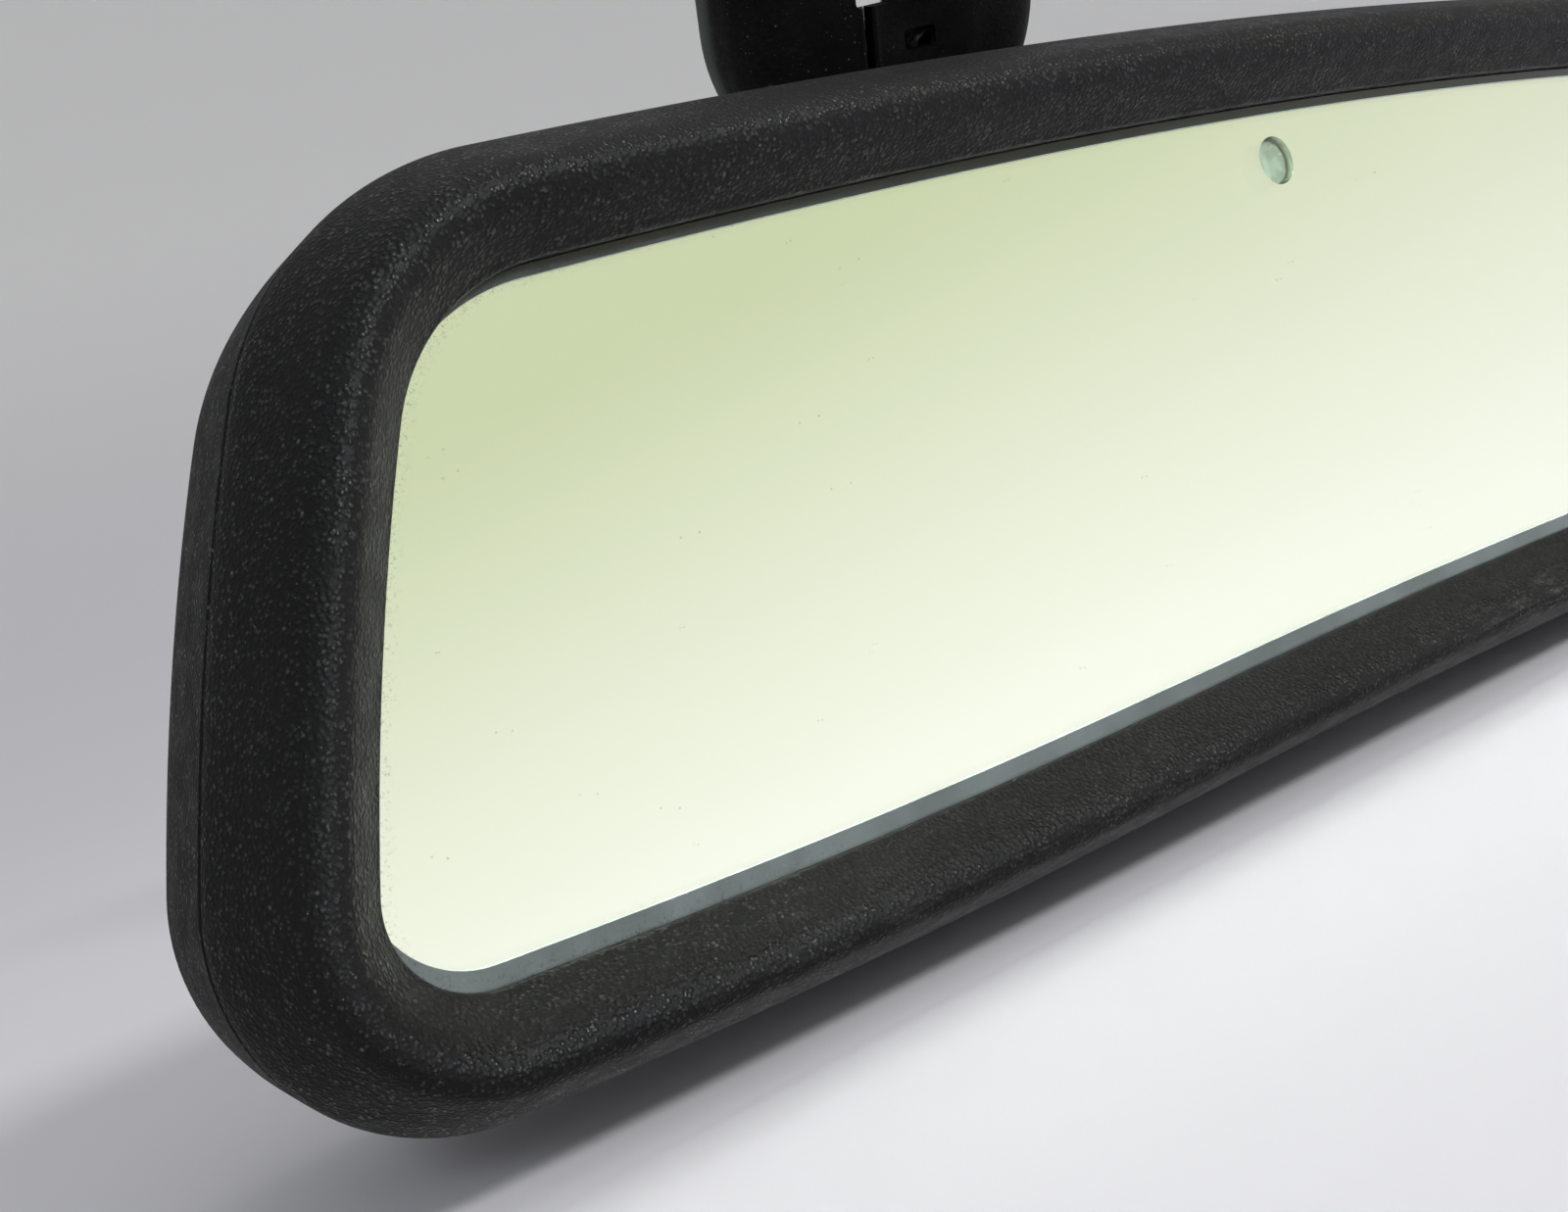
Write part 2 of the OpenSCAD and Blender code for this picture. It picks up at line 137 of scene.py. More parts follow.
class MirrorGlassSettings(bpy.types.PropertyGroup):
    """Sizes of the two panes and of the seal between them."""
    lap: length("Lap", "How far the glass runs behind the frame", 2.4)
    front: length("Front", "Depth of the front pane's face", 0.1)
    pane: length("Pane", "Thickness of each pane", 2.0)
    cell: length("Cell", "Thickness of the gap between the panes", 0.3)
    band_top: length("Top band", "Width of the seal that shows along the top", 0.8)
    band_bottom: length("Bottom band", "Width of the seal that shows along the bottom", 1.3)
    sensor_radius: length("Sensor radius", "Radius of the glare window", 2.5)
    arris: length("Arris", "Size of the ground edge of the panes", 0.25)
    tint: colour("Mirror tint", "Colour of the mirror coat", (0.93, 0.965, 0.80))
    seal_tint: colour("Seal tint", "Colour of the seal between the panes", (0.34, 0.42, 0.42))


class MirrorFootSettings(bpy.types.PropertyGroup):
    """Sizes of the foot, its covers and its seal."""
    cover_radius: length("Cover radius", "Half width of the covers", 24.8)
    cover_height: length("Cover height", "Height of the covers off the windscreen", 16.0)
    cover_drop: length("Cover drop", "Distance down to the centre of the round end", 26.3)
    cover_rise: length("Cover rise", "Distance up to the top of the covers", 25.0)
    cover_shift: length("Cover shift", "How far the covers sit to the right of the stay", 2.6)
    cover_wall: length("Cover wall", "Wall of the covers", 1.6)
    cover_foot: length("Cover foot", "Height at which the covers end", 5.7)
    split: FloatProperty(name="Split", description="Place of the split across the foot",
                         default=-2.3 * MM, unit="LENGTH", precision=5)
    split_gap: length("Split gap", "Width of the split", 1.1)
    inner_gap: length("Inner gap", "Width that the split narrows to on the inside", 0.14)
    lip: length("Lip", "Height of the bead along the split", 0.22)
    edge: length("Edge", "Radius of the covers' edges", 0.4)
    seal_height: length("Seal height", "Height of the rubber seal", 5.4)
    seal_width: length("Seal width", "Width of the rubber seal", 3.1)
    limb_radius: length("Limb radius", "Radius of the stay's limb", 5.5)


class MirrorFinishSettings(bpy.types.PropertyGroup):
    """Colours and grain of the finishes."""
    plastic: colour("Frame plastic", "Colour of the grained frame", (0.0060, 0.0060, 0.0062))
    housing: colour("Housing plastic", "Colour of the grained housing", (0.0066, 0.0066, 0.0066))
    cover: colour("Cover plastic", "Colour of the foot covers", (0.0032, 0.0032, 0.0033))
    dust: colour("Dust", "Colour of the dust and of scuffs", (0.33, 0.32, 0.29))
    grain: length("Grain", "Size of one pebble of the grain", 0.42)
    grain_depth: length("Grain depth", "Depth of the grain", 0.13)


class MirrorStageSettings(bpy.types.PropertyGroup):
    """The sweep, the lights and the camera."""
    floor_drop: length("Floor drop", "Distance of the floor below the object", 1.5)
    floor_radius: length("Floor radius", "Radius of the flat floor", 320.0)
    sweep_radius: length("Sweep radius", "Radius of the curve up to the wall", 1700.0)
    wall_height: length("Wall height", "Height of the straight wall", 500.0)
    eye: FloatVectorProperty(
        name="Eye", description="Camera place from the middle of the glass", size=3,
        default=(-139.78 * MM, -106.35 * MM, 1.01 * MM), unit="LENGTH")
    yaw: FloatProperty(name="Yaw", description="Turn of the camera to the right of +Y",
                       default=math.radians(32.37), subtype="ANGLE")
    pitch: FloatProperty(name="Pitch", description="Rise of the camera's line of sight",
                         default=math.radians(-3.27), subtype="ANGLE")
    roll: FloatProperty(name="Roll", description="Roll of the camera, clockwise",
                        default=math.radians(16.46), subtype="ANGLE")
    lens: FloatProperty(name="Lens", description="Focal length on a 36 mm sensor", default=36.92)
    steps: IntProperty(name="Steps", description="Steps round the sweep", default=96, min=24)


def settings(group):
    """The scene's values of one property group."""
    return getattr(bpy.context.scene, group)


# ---------------------------------------------------------------------------
# Places read from the frame
# ---------------------------------------------------------------------------

BALL = np.array(frame["joints"][0]["pos_m"], float)
SEAT = next(m for m in frame["record"]["mounts"] if m["name"] == "windscreen_socket")
SEAT_AT = np.array(SEAT["pos_m"], float)


def head_origin():
    """Middle of the glass opening on the front of the glass, from the frame's own box."""
    sizes = settings("mirror_frame")
    low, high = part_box("front_bezel")
    return np.array([(low.x + high.x) / 2, low.y + sizes.crest,
                     high.z - sizes.open_top - sizes.frame_width])


def foot_basis():
    """Rows are the foot's own axes: across, up the windscreen, and into the cabin."""
    out = -np.array(SEAT["axis"], float)
    across = np.cross(UP, out)
    across /= np.linalg.norm(across)
    return np.array([across, np.cross(out, across), out])


def from_foot(points):
    """Points in the foot's own axes to points in the frame. The foot's origin is the socket."""
    return points @ foot_basis() + SEAT_AT


# ---------------------------------------------------------------------------
# Meshes
# ---------------------------------------------------------------------------

def add_object(name, data):
    """A new object in the scene, at the origin."""
    obj = bpy.data.objects.new(name, data)
    bpy.context.scene.collection.objects.link(obj)
    return obj


def raw_mesh(name, points, faces, **marks):
    """A mesh of an array of points, with a float attribute on its points for each mark."""
    mesh = bpy.data.meshes.new(name)
    mesh.from_pydata(points.reshape(-1, 3), [], faces)
    for mark, values in marks.items():
        attribute = mesh.attributes.new(mark, "FLOAT", "POINT")
        attribute.data.foreach_set("value", values.astype(np.float32).ravel())
    return mesh


def build_mesh(name, points, faces, angle=35.0, **marks):
    """A mesh object at the origin: doubles merged, faces turned outward, smooth below angle."""
    obj = add_object(name, raw_mesh(name, points, faces, **marks))
    tidy_mesh(obj, angle)
    return obj


def tidy_mesh(obj, angle=35.0, merge=1e-6, recalculate=True):
    """Merges doubles, drops faces with no area, turns faces outward and sets smooth shading."""
    work = bmesh.new()
    work.from_mesh(obj.data)
    bmesh.ops.remove_doubles(work, verts=work.verts, dist=merge)
    bmesh.ops.dissolve_degenerate(work, edges=work.edges, dist=merge / 10)
    if recalculate:
        bmesh.ops.recalc_face_normals(work, faces=work.faces)
    work.to_mesh(obj.data)
    work.free()
    obj.data.polygons.foreach_set("use_smooth", np.ones(len(obj.data.polygons), bool))
    obj.data.set_sharp_from_angle(angle=math.radians(angle))


def grid_faces(rows, columns, wrap_rows=False, wrap_columns=False, start=0):
    """Quads between neighbouring rows and columns, counted from the point number start."""
    r = np.arange(rows if wrap_rows else rows - 1)
    c = np.arange(columns if wrap_columns else columns - 1)
    r, c = (a.ravel() for a in np.meshgrid(r, c, indexing="ij"))
    r1, c1 = (r + 1) % rows, (c + 1) % columns
    quads = [r * columns + c, r1 * columns + c, r1 * columns + c1, r * columns + c1]
    return (np.stack(quads, 1) + start).tolist()


def smooth_chain(points, steps=8, corners=()):
    """A Catmull-Rom curve through the rows of points, broken at the corner numbers.

    Between rows b and c with neighbours a and d the value at t is
    b + t(c-a)/2 + t^2(2a-5b+4c-d)/2 + t^3(3b-a-3c+d)/2.
    """
    points = np.asarray(points, float)
    last = len(points) - 1
    t = (np.arange(steps) / steps)[:, None]
    parts = []
    for i in range(last):
        b, c = points[i], points[i + 1]
        a = 2 * b - c if i == 0 or i in corners else points[i - 1]
        d = 2 * c - b if i + 1 == last or i + 1 in corners else points[i + 2]
        parts.append(b + t * (c - a) / 2 + t**2 * (2 * a - 5 * b + 4 * c - d) / 2
                     + t**3 * (3 * b - a - 3 * c + d) / 2)
    return np.concatenate(parts + [points[-1:]])


def lathe(profile, centre, axis, steps=64):
    """Points of a (radius, distance) profile turned about an axis: one row for each step."""
    axis = np.asarray(axis, float) / np.linalg.norm(axis)
    side = np.cross(axis, UP if abs(axis[2]) < 0.9 else np.array([1.0, 0.0, 0.0]))
    side /= np.linalg.norm(side)
    other = np.cross(axis, side)
    turn = np.linspace(0, 2 * math.pi, steps, endpoint=False)[:, None, None]
    radius, along = profile[None, :, :1], profile[None, :, 1:2]
    return centre + axis * along + radius * (side * np.cos(turn) + other * np.sin(turn))


def lathe_piece(name, profile, centre, axis, steps=64):
    """A closed turned solid. The profile's two ends lie on the axis."""
    profile = np.asarray(profile, float)
    points = lathe(profile, centre, axis, steps)
    return build_mesh(name, points, grid_faces(steps, len(profile), wrap_rows=True))


def remove(obj):
    """Deletes a helper object and its mesh."""
    mesh = obj.data
    bpy.data.objects.remove(obj)
    bpy.data.meshes.remove(mesh)


def carve(obj, cutters, angle=35.0):
    """Cuts the cutters out of obj, one after the other, and deletes them."""
    for cutter in cutters:
        cut = obj.modifiers.new("cut", "BOOLEAN")
        cut.operation, cut.solver, cut.object = "DIFFERENCE", "EXACT", cutter
        bpy.context.view_layer.update()
        shaped = obj.evaluated_get(bpy.context.evaluated_depsgraph_get())
        done = bpy.data.meshes.new_from_object(shaped)
        obj.modifiers.clear()
        old, obj.data = obj.data, done
        name = old.name
        bpy.data.meshes.remove(old)
        obj.data.name = name
        remove(cutter)
    if not len(obj.data.polygons):
        raise RuntimeError(f"{obj.name} came out empty after its cuts")
    tidy_mesh(obj, angle, recalculate=False)


def add_bevel(obj, width, segments=2, angle=40.0):
    """Rounds the sharp edges of a piece."""
    bevel = obj.modifiers.new("edges", "BEVEL")
    bevel.width, bevel.segments = width, segments
    bevel.limit_method, bevel.angle_limit = "ANGLE", math.radians(angle)
    bevel.use_clamp_overlap = True
    bevel.harden_normals = True


def settle(obj, node):
    """Gives a piece the body, the material slot and the finish of the node it stands for."""
    body, slot = frame["nodes"][node]["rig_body"], NODE_SLOTS[node]
    obj.data.materials.clear()
    obj.data.materials.append(MATERIALS[slot])
    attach(obj, body)
    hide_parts(node)


def finished_copies(widths):
    """Merged, smooth-shaded copies that stand for nodes, with edges rounded by mm widths."""
    for node, width in widths.items():
        copy = add_object("fine_" + node, frame["nodes"][node].data.copy())
        tidy_mesh(copy, 32.0, merge=2e-6, recalculate=False)
        add_bevel(copy, width * MM)
        settle(copy, node)


# ---------------------------------------------------------------------------
# The head's outline
# ---------------------------------------------------------------------------

ARC_STEPS = (66, 46, 44, 34, 84)


def circles_meet(c0, r0, c1, r1, way):
    """Where circles of radius r0 and r1 about c0 and c1 meet, on the side that way points to."""
    apart = c1 - c0
    d = np.linalg.norm(apart, axis=1)
    a = (r0**2 - r1**2 + d**2) / (2 * d)
    h = np.sqrt(np.maximum(r0**2 - a**2, 0))
    u = apart / d[:, None]
    n = np.stack([-u[:, 1], u[:, 0]], 1)
    p = c0 + a[:, None] * u + h[:, None] * n
    q = c0 + a[:, None] * u - h[:, None] * n
    return np.where(((p - q) @ np.array(way) > 0)[:, None], p, q)


def outline(grow, top=0.0, bottom=0.0):
    """The opening's outline grown by each value of grow: five tangent arcs down the left side.

    The arcs are the top edge, top corner, side, bottom corner and bottom edge, and the right
    side is their mirror image. Below the middle the edge rises by rise * exp(-(x/width)^2).
    """
    s = settings("mirror_frame")
    d = np.atleast_1d(np.asarray(grow, float))
    zero = np.zeros_like(d)
    rt, rs, rb = s.top_radius + d, s.side_radius + d, s.bottom_radius + d
    ct = np.stack([zero, zero + s.open_top - top - s.top_radius], 1)
    cs = np.stack([zero + s.side_radius - s.side_reach, zero - s.side_height], 1)
    cb = np.stack([zero, zero + bottom + s.bottom_radius - s.open_bottom], 1)
    k1, k2 = np.maximum(s.top_corner + d, MM), np.maximum(s.bottom_corner + d, MM)
    c1 = circles_meet(ct, rt - k1, cs, rs - k1, (-1, 1))
    c2 = circles_meet(cb, rb - k2, cs, rs - k2, (-1, -1))

    def turn(v):
        return np.arctan2(v[:, 1], v[:, 0]) % (2 * math.pi)

    marks = [zero + math.pi / 2, turn(c1 - ct), turn(c1 - cs), turn(c2 - cs), turn(c2 - cb),
             zero + 1.5 * math.pi]
    parts = []
    for i, (c, r) in enumerate([(ct, rt), (c1, k1), (cs, rs), (c2, k2), (cb, rb)]):
        t = np.arange(ARC_STEPS[i] + (i == 4)) / ARC_STEPS[i]
        a = marks[i][:, None] + (marks[i + 1] - marks[i])[:, None] * t
        parts.append(c[:, None, :] + r[:, None, None] * np.stack([np.cos(a), np.sin(a)], 2))
    left = np.concatenate(parts, 1)
    loop = np.concatenate([left, left[:, -2:0:-1] * [-1, 1]], 1)
    fade = np.clip(-loop[..., 1] / (10 * MM), 0, 1)
    loop[..., 1] += fade * s.arch_rise * np.exp(-(loop[..., 0] / s.arch_width) ** 2)
    return loop


def head_loops(grow, depth, blend=None, radius=None):
    """Loops in the frame: each outline at its depth, blended by blend to a circle about Y."""
    loops = outline(grow)
    if blend is not None:
        turn = np.arctan2(loops[..., 1], loops[..., 0])
        blend, radius = (np.asarray(v, float)[:, None, None] for v in (blend, radius))
        ring = np.stack([np.cos(turn), np.sin(turn)], 2) * radius
        loops = loops * (1 - blend) + ring * blend
    depth = np.broadcast_to(np.asarray(depth, float)[:, None], loops.shape[:2])
    return np.stack([loops[..., 0], depth, loops[..., 1]], 2) + head_origin()


def ring_piece(name, loops, angle=35.0):
    """A closed ring: loops joined one to the next, and the last to the first."""
    rows, columns = loops.shape[:2]
    return build_mesh(name, loops, grid_faces(rows, columns, True, True), angle)


# ---------------------------------------------------------------------------
# Material nodes
# ---------------------------------------------------------------------------

class Sheet:
    """Adds nodes to one tree, so that a finish reads as a list of steps."""

    def __init__(self, tree):
        self.tree = tree

    def node(self, kind, **values):
        made = self.tree.nodes.new(kind)
        for key, value in values.items():
            setattr(made, key, value)
        return made

    def put(self, socket, value):
        """Links a socket to another, or sets its value."""
        if isinstance(value, bpy.types.NodeSocket):
            self.tree.links.new(value, socket)
        else:
            socket.default_value = value

    def math(self, operation, a, b=0.0, clamp=False):
        made = self.node("ShaderNodeMath", operation=operation, use_clamp=clamp)
        self.put(made.inputs[0], a)
        self.put(made.inputs[1], b)
        return made.outputs[0]

    def vector(self, operation, a, b=(0.0, 0.0, 0.0)):
        made = self.node("ShaderNodeVectorMath", operation=operation)
        self.put(made.inputs[0], a)
        self.put(made.inputs[1], b)
        return made.outputs["Value" if operation in ("LENGTH", "DISTANCE") else "Vector"]

    def ramp(self, value, low, high, to_low=0.0, to_high=1.0):
        """The value mapped from low..high to to_low..to_high, with smooth ends."""
        made = self.node("ShaderNodeMapRange", interpolation_type="SMOOTHSTEP")
        for key, entry in zip(("Value", "From Min", "From Max", "To Min", "To Max"),
                              (value, low, high, to_low, to_high)):
            self.put(made.inputs[key], entry)
        return made.outputs[0]

    def mix(self, share_of_b, a, b):
        """Colour a turned to colour b by a share."""
        made = self.node("ShaderNodeMix", data_type="RGBA")
        self.put(made.inputs[0], share_of_b)
        self.put(made.inputs[6], a)
        self.put(made.inputs[7], b)
        return made.outputs[2]

    def noise(self, vector, scale, detail=3.0, roughness=0.5):
        made = self.node("ShaderNodeTexNoise")
        self.put(made.inputs["Vector"], vector)
        self.put(made.inputs["Scale"], scale)
        self.put(made.inputs["Detail"], detail)
        self.put(made.inputs["Roughness"], roughness)
        return made.outputs["Fac"]

    def cells(self, vector, scale, feature="SMOOTH_F1", output="Distance"):
        made = self.node("ShaderNodeTexVoronoi", feature=feature)
        self.put(made.inputs["Vector"], vector)
        self.put(made.inputs["Scale"], scale)
        if feature == "SMOOTH_F1":
            made.inputs["Smoothness"].default_value = 0.35
        return made.outputs[output]

    def place(self):
        """Object coordinates, in metres."""
        return self.node("ShaderNodeTexCoord").outputs["Object"]

    def stretch(self, vector, scale, turn=(0.0, 0.0, 0.0)):
        made = self.node("ShaderNodeMapping")
        self.put(made.inputs["Vector"], vector)
        made.inputs["Scale"].default_value = scale
        made.inputs["Rotation"].default_value = turn
        return made.outputs["Vector"]

    def part(self, vector, axis):
        """One axis of a vector: 0, 1 or 2 for X, Y or Z."""
        made = self.node("ShaderNodeSeparateXYZ")
        self.put(made.inputs[0], vector)
        return made.outputs[axis]

    def attribute(self, name):
        return self.node("ShaderNodeAttribute", attribute_name=name).outputs["Fac"]

    def specks(self, vector, size, amount):
        """The mask of the shared group of dust specks."""
        return self.use(GROUPS["specks"], vector=vector, size=size, amount=amount)["Mask"]

    def use(self, group, **values):
        """Places a node group and sets its inputs by name, with _ for a space."""
        made = self.node("ShaderNodeGroup", node_tree=group)
        for key, value in values.items():
            self.put(made.inputs[key.replace("_", " ").title()], value)
        return made.outputs

    def bump(self, height, distance, strength=1.0, normal=None):
        made = self.node("ShaderNodeBump")
        made.inputs["Distance"].default_value = distance
        made.inputs["Strength"].default_value = strength
        self.put(made.inputs["Height"], height)
        if normal is not None:
            self.put(made.inputs["Normal"], normal)
        return made.outputs["Normal"]


def new_group(name, inputs, outputs):
    """An empty node group with float or vector inputs and float outputs, and its sheet."""
    tree = bpy.data.node_groups.new(name, "ShaderNodeTree")
    for label, default in inputs.items():
        kind = "NodeSocketVector" if default is None else "NodeSocketFloat"
        socket = tree.interface.new_socket(label, in_out="INPUT", socket_type=kind)
        if default is not None:
            socket.default_value = default
    for label in outputs:
        tree.interface.new_socket(label, in_out="OUTPUT", socket_type="NodeSocketFloat")
    sheet = Sheet(tree)
    return tree, sheet, sheet.node("NodeGroupInput").outputs, sheet.node("NodeGroupOutput").inputs


def pebble_grain():
    """Moulded pebble grain: round-topped cells of uneven size. Size is one pebble, in metres."""
    tree, s, given, out = new_group("Pebble Grain", {"Vector": None, "Size": 0.0004},
                                    ["Height", "Tops"])
    scale = s.math("DIVIDE", 1.0, given["Size"])
    drift = s.noise(given["Vector"], s.math("MULTIPLY", scale, 0.35), 2.0)
    cell = s.cells(given["Vector"], scale)
    fine = s.noise(given["Vector"], s.math("MULTIPLY", scale, 1.7), 2.0, 0.6)
    dome = s.ramp(cell, 0.05, 0.75, 1.0, 0.0)
    mixed = s.math("MULTIPLY", dome, s.ramp(drift, 0.25, 0.7, 0.55, 1.0))
    height = s.math("ADD", s.math("MULTIPLY", mixed, 0.75), s.math("MULTIPLY", fine, 0.35))
    s.put(out["Height"], height)
    s.put(out["Tops"], s.ramp(mixed, 0.45, 0.95))
    return tree


def dust_specks():
    """Sparse specks: a few cells of a fine Voronoi pattern hold a dot, more where noise is high."""
    tree, s, given, out = new_group("Dust Specks", {"Vector": None, "Size": 0.0006, "Amount": 0.3},
                                    ["Mask"])
    scale = s.math("DIVIDE", 1.0, given["Size"])
    spot = s.ramp(s.cells(given["Vector"], scale, "F1"), 0.10, 0.24, 1.0, 0.0)
    pick = s.node("ShaderNodeSeparateColor")
    s.put(pick.inputs[0], s.cells(given["Vector"], scale, "F1", "Color"))
    chosen = s.math("LESS_THAN", pick.outputs[0], given["Amount"])
    drift = s.ramp(s.noise(given["Vector"], 45.0, 3.0), 0.42, 0.66, 0.15, 1.0)
    s.put(out["Mask"], s.math("MULTIPLY", s.math("MULTIPLY", spot, chosen), drift))
    return tree


def soft_scuffs():
    """Pale rubbed patches: streaked fine noise inside slow noise. Amount widens the patches."""
    tree, s, given, out = new_group("Soft Scuffs", {"Vector": None, "Amount": 0.5}, ["Mask"])
    low = s.math("SUBTRACT", 0.72, s.math("MULTIPLY", given["Amount"], 0.25))
    patch = s.ramp(s.noise(given["Vector"], 28.0, 3.0), low, s.math("ADD", low, 0.16))
    drawn_out = s.stretch(given["Vector"], (260, 1500, 2100), (0.0, 0.25, 0.0))
    streak = s.ramp(s.noise(drawn_out, 1.0, 4.0, 0.7), 0.44, 0.74)
    s.put(out["Mask"], s.math("MULTIPLY", patch, streak))
    return tree


def within(s, place, centre, size):
    """1 inside an ellipsoid about a point in the frame, falling smoothly to 0 outside."""
    from_centre = s.vector("SUBTRACT", place, tuple(centre))
    scaled = s.vector("DIVIDE", from_centre, tuple(size))
    return s.ramp(s.vector("LENGTH", scaled), 0.35, 1.0, 1.0, 0.0)


GROUPS = {}
MATERIALS = {}


def make_groups():
    """Builds the shared node groups once."""
    GROUPS.update(grain=pebble_grain(), specks=dust_specks(), scuffs=soft_scuffs())


def new_material(name):
    """A node material with its sheet and its Principled shader."""
    made = bpy.data.materials.new(name)
    made.use_nodes = True
    made.node_tree.nodes.clear()
    sheet = Sheet(made.node_tree)
    shader = sheet.node("ShaderNodeBsdfPrincipled")
    sheet.put(sheet.node("ShaderNodeOutputMaterial").inputs["Surface"], shader.outputs[0])
    MATERIALS[name] = made
    return made, sheet, shader.inputs


def rgba(values, gain=1.0):
    """A colour with full alpha, made lighter or darker by gain."""
    return tuple(min(1.0, v * gain) for v in values[:3]) + (1.0,)


def grained_plastic(name, base, grain=1.0, depth=1.0, rough=0.46, dusty=1.0, shine=1.0,
                    rubbed=()):
    """Black moulded plastic with pebble grain, glossier pebble tops, dust and rubbed patches."""
    finish = settings("mirror_finish")
    made, s, shader = new_material(name)
    place = s.place()
    pebbles = s.use(GROUPS["grain"], vector=place, size=finish.grain * grain)
    cloud = s.ramp(s.noise(place, 60.0, 4.0), 0.3, 0.7)
    body = s.mix(cloud, rgba(base, 0.85), rgba(base, 1.2))
    # painted highlight: the pebble tops are painted lighter in colour, as if lit from above
    body = s.mix(s.math("MULTIPLY", pebbles["Tops"], 0.35), body, rgba(base, 1.6))
    specks = s.specks(place, 0.75 * MM, 0.22 * dusty)
    fine = s.specks(place, 0.34 * MM, 0.10 * dusty)
    dust = s.math("ADD", s.math("MULTIPLY", specks, 0.30), s.math("MULTIPLY", fine, 0.45))
    scuff = s.use(GROUPS["scuffs"], vector=place, amount=0.35)["Mask"]
    scuff = s.math("MULTIPLY", scuff, 0.05 * dusty)
    for centre, size, strength in rubbed:
        patch = s.math("MULTIPLY", within(s, place, centre, size), strength)
        drawn_out = s.stretch(place, (220, 900, 1600), (0.0, 0.3, 0.0))
        streak = s.ramp(s.noise(drawn_out, 1.0, 5.0, 0.75), 0.46, 0.70)
        scuff = s.math("ADD", scuff, s.math("MULTIPLY", patch, streak), clamp=True)
    pale = s.math("ADD", dust, scuff, clamp=True)
    s.put(shader["Base Color"], s.mix(pale, body, rgba(finish.dust)))
    gloss = s.ramp(s.noise(place, 420.0, 3.0), 0.3, 0.75, rough + 0.07, rough - 0.05)
    gloss = s.math("SUBTRACT", gloss, s.math("MULTIPLY", pebbles["Tops"], 0.13))
    s.put(shader["Roughness"], s.math("ADD", gloss, s.math("MULTIPLY", pale, 0.3), clamp=True))
    relief = s.bump(pebbles["Height"], finish.grain_depth * depth)
    s.put(shader["Normal"], relief)
    s.put(shader["Coat Normal"], relief)
    s.put(shader["Coat Weight"], s.math("MULTIPLY", pebbles["Tops"], 0.75 * shine))
    shader["Coat Roughness"].default_value = 0.24
    shader["Specular IOR Level"].default_value = 0.14 * shine
    return made


def plain_plastic(name, base, rough=0.4, grain=0.00012, depth=0.000012, dusty=0.4):
    """Smooth moulded plastic: faint spark texture, flow marks and a little dust."""
    made, s, shader = new_material(name)
    place = s.place()
    flow = s.ramp(s.noise(s.stretch(place, (30, 140, 90)), 1.0, 4.0), 0.3, 0.7)
    specks = s.specks(place, 0.7 * MM, 0.15 * dusty)
    body = s.mix(flow, rgba(base, 0.9), rgba(base, 1.14))
    s.put(shader["Base Color"], s.mix(s.math("MULTIPLY", specks, 0.4), body, (0.4, 0.39, 0.36, 1)))
    gloss = s.ramp(s.noise(place, 260.0, 3.0), 0.3, 0.75, rough + 0.08, rough - 0.06)
    s.put(shader["Roughness"], gloss)
    s.put(shader["Normal"], s.bump(s.noise(place, 1 / grain, 2.0), depth))
    return made


def worked_metal(name, base, rough, brushed, depth=0.00001, stain=(0.10, 0.09, 0.08)):
    """Bare or plated metal: fine tool marks, uneven polish and darker stains."""
    made, s, shader = new_material(name)
    place = s.place()
    marks = s.noise(s.stretch(place, brushed), 1.0, 5.0, 0.65)
    stains = s.ramp(s.noise(place, 170.0, 5.0, 0.6), 0.52, 0.72)
    s.put(shader["Base Color"], s.mix(s.math("MULTIPLY", stains, 0.35), rgba(base), rgba(stain)))
    s.put(shader["Roughness"], s.ramp(marks, 0.3, 0.7, rough - 0.08, rough + 0.12))
    s.put(shader["Normal"], s.bump(marks, depth))
    shader["Metallic"].default_value = 1.0
    return made


def soft_rubber(name, base, rough=0.7, pores=0.0005):
    """Rubber or foam: fine pores, bloom and uneven sheen."""
    made, s, shader = new_material(name)
    place = s.place()
    bloom = s.ramp(s.noise(place, 90.0, 4.0), 0.35, 0.7)
    s.put(shader["Base Color"], s.mix(bloom, rgba(base, 0.8), rgba(base, 1.35)))
    s.put(shader["Roughness"], s.ramp(bloom, 0.0, 1.0, rough, rough + 0.15))
    s.put(shader["Normal"], s.bump(s.cells(place, 1 / pores, "F1"), pores / 12))
    return made


def front_glass_finish():
    """Clear float glass with specks, and dirt along the frame, thicker at the left end."""
    made, s, shader = new_material("clear_glass")
    place = s.place()
    inward = s.attribute("inward_mm")
    near_edge = s.ramp(inward, 0.0, 1.7, 1.0, 0.0)
    middle = head_origin()[0]
    left = s.ramp(s.part(place, 0), middle - 95 * MM, middle - 60 * MM, 1.0, 0.12)
    chips = s.ramp(s.noise(place, 2600.0, 4.0, 0.7), 0.55, 0.64)
    rim_dirt = s.math("MULTIPLY", s.math("MULTIPLY", near_edge, left), chips)
    specks = s.math("MULTIPLY", s.specks(place, 0.6 * MM, 0.010), 0.6)
    marks = s.math("ADD", specks, s.math("MULTIPLY", rim_dirt, 0.55), clamp=True)
    s.put(shader["Base Color"], s.mix(marks, (0.985, 1.0, 0.975, 1), (0.07, 0.075, 0.05, 1)))
    s.put(shader["Roughness"], s.math("MULTIPLY", marks, 0.35))
    shader["Transmission Weight"].default_value = 1.0
    shader["IOR"].default_value = 1.52
    shader["Metallic"].default_value = 0.0
    return made


